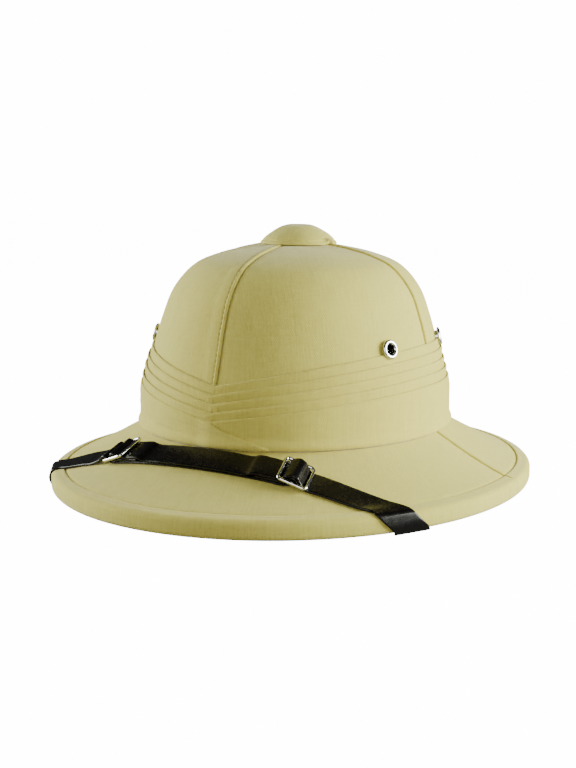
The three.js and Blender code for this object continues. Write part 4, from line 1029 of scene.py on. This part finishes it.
def vent_collar():
    top = CAP_LOW[2] + CAP_HEIGHT * CAP_INNER[-1][1] - GAP
    seat = DOME_TOP - COVER_DEPTH + GAP
    flange = PANEL_END_RADIUS - 2 * GAP
    underside = on_crown(VENT_SHARE, math.pi / 2, -COVER_DEPTH - SHELL_WALL)[0][2] - 3 * GAP
    profile = [
        (COLLAR_BORE, underside - COLLAR_FLANGE), (flange - 0.4, underside - COLLAR_FLANGE),
        (flange, underside - COLLAR_FLANGE + 0.4), (flange, underside), (COLLAR_RADIUS, underside),
        (COLLAR_RADIUS, seat), (flange, seat), (flange, seat + COLLAR_FLANGE - 0.4),
        (flange - 0.4, seat + COLLAR_FLANGE), (COLLAR_RADIUS, seat + COLLAR_FLANGE), (COLLAR_RADIUS, top),
        (COLLAR_BORE, top),
    ]
    vertices, faces = turned(profile, 64)
    add_piece("collar_tube", vertices, faces, SHELL_FIBRE, "shell_fibre", ["vent_collar"], sharp=40)


# Eyelets and rivets
def eyelet(name, node, angle):
    """Rolled metal eyelet: a ring with a rounded lip, its barrel, and the spread end inside the crown."""
    seat = BAND_CLOTH + 3 * GAP
    back = -COVER_DEPTH - SHELL_WALL - EYELET_REACH
    roll = EYELET_FLANGE / 2
    centre = (EYELET_RADIUS + EYELET_HOLE) / 2
    half = (EYELET_RADIUS - EYELET_HOLE) / 2
    lip = [(centre - half * math.cos(turn), seat + EYELET_FLANGE * math.sin(turn))
           for turn in np.linspace(0.0, math.pi, 17)]
    profile = [
        *lip, (EYELET_RADIUS - 0.3, seat - 0.3), (EYELET_BARREL, seat - 0.3), (EYELET_BARREL, back),
        (EYELET_RADIUS - 0.9, back), (EYELET_RADIUS - 0.7, back - roll * 0.4),
        (EYELET_RADIUS - 1, back - roll), (EYELET_HOLE + 0.3, back - roll), (EYELET_HOLE, back - roll * 0.5),
    ]
    vertices, faces = turned(profile, 64)
    vertices = set_on_crown(vertices, angle, EYELET_HEIGHT)
    add_piece(name, vertices, faces, BRIGHT_METAL, "bright_metal", [node], sharp=60)


def strap_rivet(name, node, side):
    pin_end = -COVER_DEPTH - GAP
    strap_inner = -COVER_DEPTH - SHELL_WALL - 4 * GAP - STRAP_THICKNESS
    head = [
        (RIVET_HEAD * math.sin(turn) + 0.02, strap_inner - RIVET_THICKNESS * math.cos(turn) ** 0.6)
        for turn in np.linspace(0, math.pi / 2 - 0.02, 12)
    ]
    profile = [
        *head, (RIVET_HEAD, strap_inner), (RIVET_SHANK, strap_inner), (RIVET_SHANK, pin_end), (0.02, pin_end),
    ]
    vertices, faces = turned(profile, 48)
    vertices = set_on_crown(vertices, side * TAB_ANGLE, FOOT_RISE * TAB_HEIGHT)
    add_piece(name, vertices, faces, BRIGHT_METAL, "bright_metal", [node], sharp=40)


# Chin strap
route = Path(smooth_path(
    [(across * BRIM_HALF_WIDTH, -forward * BRIM_HALF_LENGTH) for across, forward in STRAP_ROUTE], 40))
SLIDE_PLACES = {side: share * route.length for side, share in SLIDE_SHARES.items()}


def brim_spot(x, y):
    """Share across the brim and angle in radians at places seen from above."""
    low = np.full(np.shape(x), -0.2)
    high = np.full(np.shape(x), 1.3)
    for unused in range(40):
        middle = (low + high) / 2
        width, length, height = brim_oval(middle)
        beyond = (x / width) ** 2 + (y / length) ** 2 > 1
        low = np.where(beyond, middle, low)
        high = np.where(beyond, high, middle)
    width, length, height = brim_oval(low)
    return low, np.arctan2(x / width, -y / length)


def strap_place(along, across, height):
    """Places by distance along the strap's route, across its width and up from the brim's cloth."""
    along, across, height = np.broadcast_arrays(
        np.clip(along, 0, route.length), np.asarray(across, float), np.asarray(height, float))
    middle = route.at(along)
    ahead = unit(route.at(along + 0.5) - route.at(along - 0.5))
    side = np.stack([-ahead[..., 1], ahead[..., 0]], axis=-1)

    def probe(distance):
        spot = middle + side * distance[..., None]
        return brim_spot(spot[..., 0], spot[..., 1])

    inner = brim_oval(probe(across)[0])[2]
    outer = brim_oval(probe(-across)[0])[2]
    slope = (inner - outer) / (2 * np.maximum(np.abs(across), 0.01))
    share, angle = probe(across / np.hypot(1, slope))
    return on_brim(share, angle, height)[0]


def layer_height(layer):
    return STRAP_GAP + STRAP_THICKNESS / 2 + layer * (STRAP_THICKNESS + GAP)


def wire_over(layers):
    return STRAP_GAP + layers * (STRAP_THICKNESS + GAP) - GAP + WRAP_GAP + SLIDE_WIRE / 2


HIGH_BAR = wire_over(3)
LOW_BAR = wire_over(1)
BARS = {
    "outer": (SLIDE_PITCH, LOW_BAR),
    "middle": (0, (HIGH_BAR + LOW_BAR) / 2),
    "inner": (-SLIDE_PITCH, HIGH_BAR),
}


def around_bar(bar, turn, ring):
    """A place in the strap's lengthwise section round a bar of a slide; along is positive toward the rim."""
    place, height = BARS[bar]
    radius = SLIDE_WIRE / 2 + WRAP_GAP + STRAP_THICKNESS / 2 + ring * (STRAP_THICKNESS + GAP)
    return place + radius * math.cos(math.radians(turn)), height + radius * math.sin(math.radians(turn))


# The left strap passes under the outer bar, over the middle bar and under the inner bar of the left slide,
# lies on the right strap, and turns back round the middle bar of the right slide
LEFT_NEAR = [
    (SLIDE_PITCH + 6, layer_height(0)),
    around_bar("outer", -90, 0), around_bar("outer", -135, 0),
    *[around_bar("middle", turn, 1) for turn in (10, 45, 90, 125)],
    around_bar("inner", -50, 0), around_bar("inner", -90, 0),
    (-LEFT_TIP_LENGTH - 1.5, layer_height(2)), (-LEFT_TIP_LENGTH - 5.5, layer_height(1)),
]
LEFT_FAR = [
    (-RIGHT_TIP_LENGTH - 5.5, layer_height(1)), (-RIGHT_TIP_LENGTH - 1.5, layer_height(2)),
    around_bar("inner", -90, 0),
    *[around_bar("middle", turn, 0) for turn in (125, 90, 45, 0, -45, -90)],
    (-4, layer_height(1)), (-RIGHT_TIP_LENGTH, layer_height(1)),
]

# The right strap passes over the outer bar of the right slide, lies flat under the left strap, and turns back
# round the middle bar of the left slide
RIGHT_NEAR = [
    (SLIDE_PITCH + 13, layer_height(0)), (SLIDE_PITCH + 5, mix(layer_height(0), LOW_BAR, 0.9)),
    *[around_bar("outer", turn, 0) for turn in (60, 95, 140, 180)],
    (SLIDE_PITCH * 0.42, layer_height(0) + 0.3), (SLIDE_PITCH * 0.15, layer_height(0)),
]
RIGHT_FAR = [
    (-SLIDE_PITCH * 0.62, layer_height(0)),
    *[around_bar("middle", turn, 0) for turn in (-110, -45, 0, 45, 90, 130, 170)],
    (-SLIDE_PITCH * 0.54, mix(layer_height(1), BARS["middle"][1], 0.45)),
    (-SLIDE_PITCH * 0.85, layer_height(1)), (-LEFT_TIP_LENGTH, layer_height(1)),
]


def with_steps(path, longest):
    """The path with extra points, so that no step is long."""
    points = [path[0]]
    for before, after in zip(path, path[1:]):
        steps = max(1, math.ceil(abs(after[0] - before[0]) / longest))
        points += [tuple(mix(np.array(before), np.array(after), (k + 1) / steps)) for k in range(steps)]
    return points


def rim_crossing(side, across):
    """Distance along the route at which an edge of the strap reaches the rim."""
    inside, outside = route.length / 2, route.length if side > 0 else 0.0
    for unused in range(36):
        middle = (inside + outside) / 2
        spot = strap_place(middle, across, 0)
        if brim_spot(spot[0], spot[1])[0] < 1:
            inside = middle
        else:
            outside = middle
    return (inside + outside) / 2


def strap_over_brim(side):
    """Sections of four corners from the rim inward, and the angles at which both edges reach the rim."""
    near, far = (LEFT_NEAR, LEFT_FAR) if side > 0 else (RIGHT_NEAR, RIGHT_FAR)
    path = [(SLIDE_PLACES[side] + side * along, height) for along, height in near]
    path += [(SLIDE_PLACES[-side] - side * along, height) for along, height in far]
    path = np.array(with_steps(path, 14))
    run = unit(np.vstack([path[1:2] - path[:1], path[2:] - path[:-2], path[-1:] - path[-2:-1]]))
    up = np.stack([side * run[:, 1], -side * run[:, 0]], axis=-1)
    half, thick = STRAP_WIDTH / 2, STRAP_THICKNESS / 2
    corners = [(half, thick), (-half, thick), (-half, -thick), (half, -thick)]
    inward = np.stack([
        strap_place(path[:, 0] + up[:, 0] * offset, across, path[:, 1] + up[:, 1] * offset)
        for across, offset in corners], axis=1)
    crossings = {across: rim_crossing(side, across) for across in (half, -half)}
    share = np.array([1, 0.75, 0.5, 0.25])
    heights = [STRAP_GAP + STRAP_THICKNESS if offset > 0 else STRAP_GAP for across, offset in corners]
    to_rim = np.stack([
        strap_place(mix(path[0, 0], crossings[across], share), across, height)
        for (across, offset), height in zip(corners, heights)], axis=1)
    angles = []
    for across in (half, -half):
        spot = strap_place(crossings[across], across, 0)
        width, length, height = brim_oval(1.0)
        angles.append(math.atan2(spot[0] / width, -spot[1] / length))
    return np.concatenate([to_rim, inward]), angles


def strap_round_rim(side, angles):
    inner, outer = angles
    sections = []
    for corner, turn, drift in RIM_TURNS:
        shift = math.radians(side * RIM_DRIFT * drift)
        high = STRAP_GAP + STRAP_THICKNESS
        places = [(inner, high), (outer, high), (outer, STRAP_GAP), (inner, STRAP_GAP)]
        sections.append([on_rim(corner, turn, angle + shift, lift) for angle, lift in places])
    return np.array(sections)


def strap_under_hem(side, rim_end):
    across, back, up, turn = HIDDEN_ROUTE[0]
    target = np.array([side * across * CROWN_HALF_WIDTH, back * CROWN_HALF_LENGTH, 0])
    ahead = target - (rim_end[0] + rim_end[1]) / 2
    ahead[2] = 0
    ahead = unit(ahead)
    sections = []
    for inner, outer, beyond in HEM_STEPS:
        passed = (HEM_WIDTH + EDGE_ROUND) * beyond
        advance = np.array([inner, outer, outer, inner]) * STRAP_WIDTH + passed
        sections.append(rim_end + advance[:, None] * ahead)
    return np.array(sections)


def strap_tab(side):
    """The strap's end, flat against the inside of the crown wall."""
    wall_lift = -COVER_DEPTH - SHELL_WALL - 2 * GAP
    middle = RIM_BOTTOM + FOOT_RISE * TAB_HEIGHT
    lean = math.radians(TAB_LEAN)
    half = STRAP_WIDTH / 2

    def corner(along, across, lift):
        back = along * math.cos(lean) - across * math.sin(lean)
        up = along * math.sin(lean) + across * math.cos(lean)
        angle = math.radians(TAB_ANGLE) + back / CROWN_HALF_LENGTH
        return on_wall(middle + up, side * angle, wall_lift - lift)

    return np.array([
        [corner(along, half, 0), corner(along, -half, 0),
         corner(along, -half, STRAP_THICKNESS), corner(along, half, STRAP_THICKNESS)]
        for along in (-TAB_LENGTH / 2, 0, TAB_LENGTH / 2)
    ])


def strap_hidden(side, rim_end, tab_start):
    """The free stretch under the brim, turning from flat to upright."""
    flat = unit(rim_end[0] - rim_end[1])
    upright = unit(tab_start[0] - tab_start[1])
    middles = [rim_end.mean(axis=0)]
    middles += [
        (side * across * CROWN_HALF_WIDTH, back * CROWN_HALF_LENGTH, RIM_BOTTOM + up * FOOT_RISE)
        for across, back, up, turn in HIDDEN_ROUTE
    ]
    middles.append(tab_start.mean(axis=0))
    per_span = 30
    line = smooth_path(middles, per_span)
    turns = [0, *[turn for across, back, up, turn in HIDDEN_ROUTE], 1]
    steps = 9
    sections = []
    for k in range(1, steps):
        place = k / steps * (len(turns) - 1)
        turn = np.interp(place, range(len(turns)), turns)
        at = place * per_span
        middle = np.array([np.interp(at, range(len(line)), column) for column in line.T])
        ahead = unit(np.array([
            np.interp(at + 1, range(len(line)), column) - np.interp(at - 1, range(len(line)), column)
            for column in line.T]))
        across = mix(flat, upright, turn)
        across = unit(across - ahead * np.dot(across, ahead))
        out = unit(np.cross(ahead, across)) * side
        half, thick = STRAP_WIDTH / 2, STRAP_THICKNESS / 2
        corners = [(half, thick), (-half, thick), (-half, -thick), (half, -thick)]
        sections.append([middle + across * width + out * lift for width, lift in corners])
    return np.array(sections)


def rounded_strip(sections, edge=0.5, crown=0.06):
    """Loops with rounded edges from sections of four corners, a little fuller in the middle."""
    turns = np.radians([90, 60, 30, 0, -30, -60, -90])
    share = edge / (STRAP_WIDTH / 2)
    right_side = [(1 - share + share * math.cos(turn), math.sin(turn)) for turn in turns]
    flat = np.linspace(-0.88, 0.88, 9)
    loop = [(x, 1 + crown * (1 - x * x)) for x in flat]
    loop += right_side
    loop += [(x, -1) for x in flat[::-1]]
    loop += [(-x, y) for x, y in right_side[::-1]]
    loops = []
    for x, y in loop:
        high = mix(sections[:, 1], sections[:, 0], (x + 1) / 2)
        low = mix(sections[:, 2], sections[:, 3], (x + 1) / 2)
        loops.append(mix(low, high, (y + 1) / 2))
    return np.stack(loops, axis=1)


def chin_strap(name, node, side):
    over, angles = strap_over_brim(side)
    round_rim = strap_round_rim(side, angles)
    under = strap_under_hem(side, round_rim[-1])
    tab = strap_tab(side)
    hidden = strap_hidden(side, under[-1], tab[0])
    coarse = np.concatenate([tab[::-1], hidden[::-1], under[::-1], round_rim[::-1], over])
    fine = smooth_path(coarse.reshape(-1, 12), 5).reshape(-1, 4, 3)
    vertices, faces = loop_mesh(rounded_strip(fine))
    add_piece(name, vertices, faces, PATENT_LEATHER, "patent_leather", [node], sharp=75)


def slide_wire(name, node, side):
    """Wire slide: a rounded frame with a middle bar."""
    centre = SLIDE_PLACES[side]
    rail = STRAP_WIDTH / 2 + GAP + SLIDE_WIRE / 2

    def spots(along, across):
        height = mix(HIGH_BAR, LOW_BAR, (along + SLIDE_PITCH) / (2 * SLIDE_PITCH))
        return strap_place(centre + side * along, across, height)

    outline_points = []
    for end, edge, first in ((1, 1, 0), (1, -1, 270), (-1, -1, 180), (-1, 1, 90)):
        for turn in np.radians(np.linspace(first + 90, first, 9)):
            outline_points.append((
                end * (SLIDE_PITCH - SLIDE_CORNER) + SLIDE_CORNER * math.cos(turn),
                edge * (rail - SLIDE_CORNER) + SLIDE_CORNER * math.sin(turn)))
    along, across = np.array(outline_points).T
    loop = spots(along, across)
    ring = wire_mesh(loop, True)
    bar = wire_mesh(spots(np.zeros(9), np.linspace(-rail, rail, 9)), False)
    add_piece(name, *joined(ring, bar), BRIGHT_METAL, "bright_metal", [node], sharp=60)


def wire_mesh(points, closed):
    """A round wire along a row of points."""
    if closed:
        ahead = np.roll(points, -1, axis=0) - np.roll(points, 1, axis=0)
    else:
        ahead = np.gradient(points, axis=0)
    ahead = unit(ahead)
    first = unit(np.cross(np.array([0, 0, 1.0]), ahead))
    second = np.cross(ahead, first)
    turn = np.linspace(0, 2 * math.pi, 14, endpoint=False)[None, :, None]
    radius = SLIDE_WIRE / 2
    loops = points[:, None] + radius * (first[:, None] * np.cos(turn) + second[:, None] * np.sin(turn))
    return loop_mesh(loops, around=closed)


# Camera, lights and floor
CAMERA_TURN = 26.5
CAMERA_TILT = 8.5
CAMERA_ROLL = 0.65
CAMERA_DISTANCE = 900
CAMERA_TARGET_HEIGHT = 71.9
FOCAL_LENGTH_PIXELS = 1372.5
PHOTO_WIDTH, PHOTO_HEIGHT = 576, 768
TARGET_IN_PHOTO = (297.3, 368.1)
SENSOR_HEIGHT = 36.0
ROOM_LIGHT = 0.05
BACKDROP_GLOW = 15.2
FLOOR_HALF_WIDTH = 3.0
PANEL_AIM_HEIGHT = 0.08

# Soft panels as (name, turn from the camera, tilt, distance in metres, size in metres, watts, colour)
PANELS = [
    ("left_panel", -104, 9, 1.1, 0.8, 31, (0.95, 1, 0.88)),
    ("right_panel", 84, 9, 1.1, 0.8, 50, (0.95, 1, 0.88)),
    ("front_panel", -8, 12, 1.5, 1.0, 10.5, (1, 0.97, 0.9)),
]


def toward(turn, tilt):
    """The way from the helmet to a place, by degrees round from the front and degrees up."""
    turn, tilt = math.radians(turn), math.radians(tilt)
    return Vector((math.sin(turn) * math.cos(tilt), -math.cos(turn) * math.cos(tilt), math.sin(tilt)))


def add_camera():
    back = toward(CAMERA_TURN, CAMERA_TILT)
    data = bpy.data.cameras.new("camera")
    data.sensor_fit = "VERTICAL"
    data.sensor_height = SENSOR_HEIGHT
    data.lens = FOCAL_LENGTH_PIXELS / PHOTO_HEIGHT * SENSOR_HEIGHT
    data.shift_x = (PHOTO_WIDTH / 2 - TARGET_IN_PHOTO[0]) / PHOTO_HEIGHT
    data.shift_y = (TARGET_IN_PHOTO[1] - PHOTO_HEIGHT / 2) / PHOTO_HEIGHT
    camera = in_scene("camera", data)
    camera.location = Vector((0, 0, CAMERA_TARGET_HEIGHT * MM)) + back * CAMERA_DISTANCE * MM
    camera.rotation_mode = "QUATERNION"
    roll = Quaternion((0, 0, 1), math.radians(CAMERA_ROLL))
    camera.rotation_quaternion = back.to_track_quat("Z", "Y") @ roll
    bpy.context.scene.camera = camera


def add_light(name, turn, tilt, distance, size, power, colour):
    """A soft square light aimed at the helmet."""
    back = toward(CAMERA_TURN + turn, tilt)
    data = bpy.data.lights.new(name, "AREA")
    data.size = size
    data.energy = power
    data.color = colour
    light = in_scene(name, data)
    light.location = Vector((0, 0, PANEL_AIM_HEIGHT)) + back * distance
    light.visible_camera = False
    light.rotation_mode = "QUATERNION"
    light.rotation_quaternion = back.to_track_quat("Z", "Y")


def add_studio():
    """Soft panels at both sides and a weak one in front, a white backdrop and a white floor."""
    for panel in PANELS:
        add_light(*panel)
    world = bpy.data.worlds.new("studio")
    world.use_nodes = True
    tree = world.node_tree
    nodes = Nodes(tree)
    room = tree.nodes["Background"]
    nodes.put(room.inputs["Color"], (1, 1, 1, 1))
    nodes.put(room.inputs["Strength"], ROOM_LIGHT)
    backdrop = nodes.add("Background", {"Color": (1, 1, 1, 1), "Strength": BACKDROP_GLOW})
    seen = nodes.add("LightPath").outputs["Is Camera Ray"]
    both = nodes.add("MixShader", {0: seen, 1: room.outputs[0], 2: backdrop.outputs[0]})
    nodes.put(tree.nodes["World Output"].inputs["Surface"], both.outputs[0])
    bpy.context.scene.world = world
    signs = ((-1, -1), (1, -1), (1, 1), (-1, 1))
    corners = [(x * FLOOR_HALF_WIDTH, y * FLOOR_HALF_WIDTH, 0) for x, y in signs]
    mesh = bpy.data.meshes.new("floor")
    mesh.from_pydata(corners, [], [(0, 1, 2, 3)])
    mesh.materials.append(lit_floor())
    in_scene("floor", mesh)


# Assembly, with the crown panels as (end, first seam, last seam, how the cloth lies at each)
PANEL_SPANS = {
    "left": [
        ("front", 0, SIDE_SEAM_ANGLE, ("under", "under")),
        ("rear", SIDE_SEAM_ANGLE, 180, ("over", "over")),
    ],
    "right": [
        ("front", -SIDE_SEAM_ANGLE, 0, ("under", "over")),
        ("rear", -180, -SIDE_SEAM_ANGLE, ("under", "over")),
    ],
}


def build_helmet():
    shell_body()
    stitched = []
    for name, side in (("left", 1), ("right", -1)):
        bores = {end: side * angle for end, angle in EYELET_ANGLES.items()}
        for end, start, stop, kinds in PANEL_SPANS[name]:
            cloth, node = f"crown_cloth_{end}_{name}", f"crown_panel_{end}_{name}"
            crown_panel(cloth, node, start, stop, kinds, [bores[end]])
        wrap = left_wrap if side > 0 else right_wrap
        wrap(list(bores.values()))
        for end, angle in EYELET_ANGLES.items():
            eyelet(f"eyelet_ring_{end}_{name}", f"eyelet_{end}_{name}", side * angle)
        chin_strap(f"strap_leather_{name}", f"chin_strap_{name}", side)
        slide_wire(f"slide_wire_{name}", f"strap_slide_{name}", side)
        strap_rivet(f"rivet_pin_{name}", f"strap_rivet_{name}", side)
        stitched.append((side * SIDE_SEAM_ANGLE, side, RIM_BOTTOM + BAND_TOP_SIDE + 1.5))
    stitched += [(0, -1, RIM_BOTTOM + BAND_TOP_FRONT + 1.5), (180, -1, RIM_BOTTOM + BAND_TOP_SIDE + 1.5)]
    threads = joined(*[stitches(*seam_stitches(*row)) for row in stitched])
    add_piece("crown_stitching", *threads, SEWING_THREAD, "cover_cloth", sharp=80)
    brim_cover("brim_cloth_front", "brim_cover_front", -SIDE_SEAM_ANGLE, SIDE_SEAM_ANGLE, "under")
    brim_cover("brim_cloth_rear", "brim_cover_rear", SIDE_SEAM_ANGLE, 360 - SIDE_SEAM_ANGLE, "over")
    vent_cap()
    vent_collar()


add_camera()
add_studio()
build_helmet()
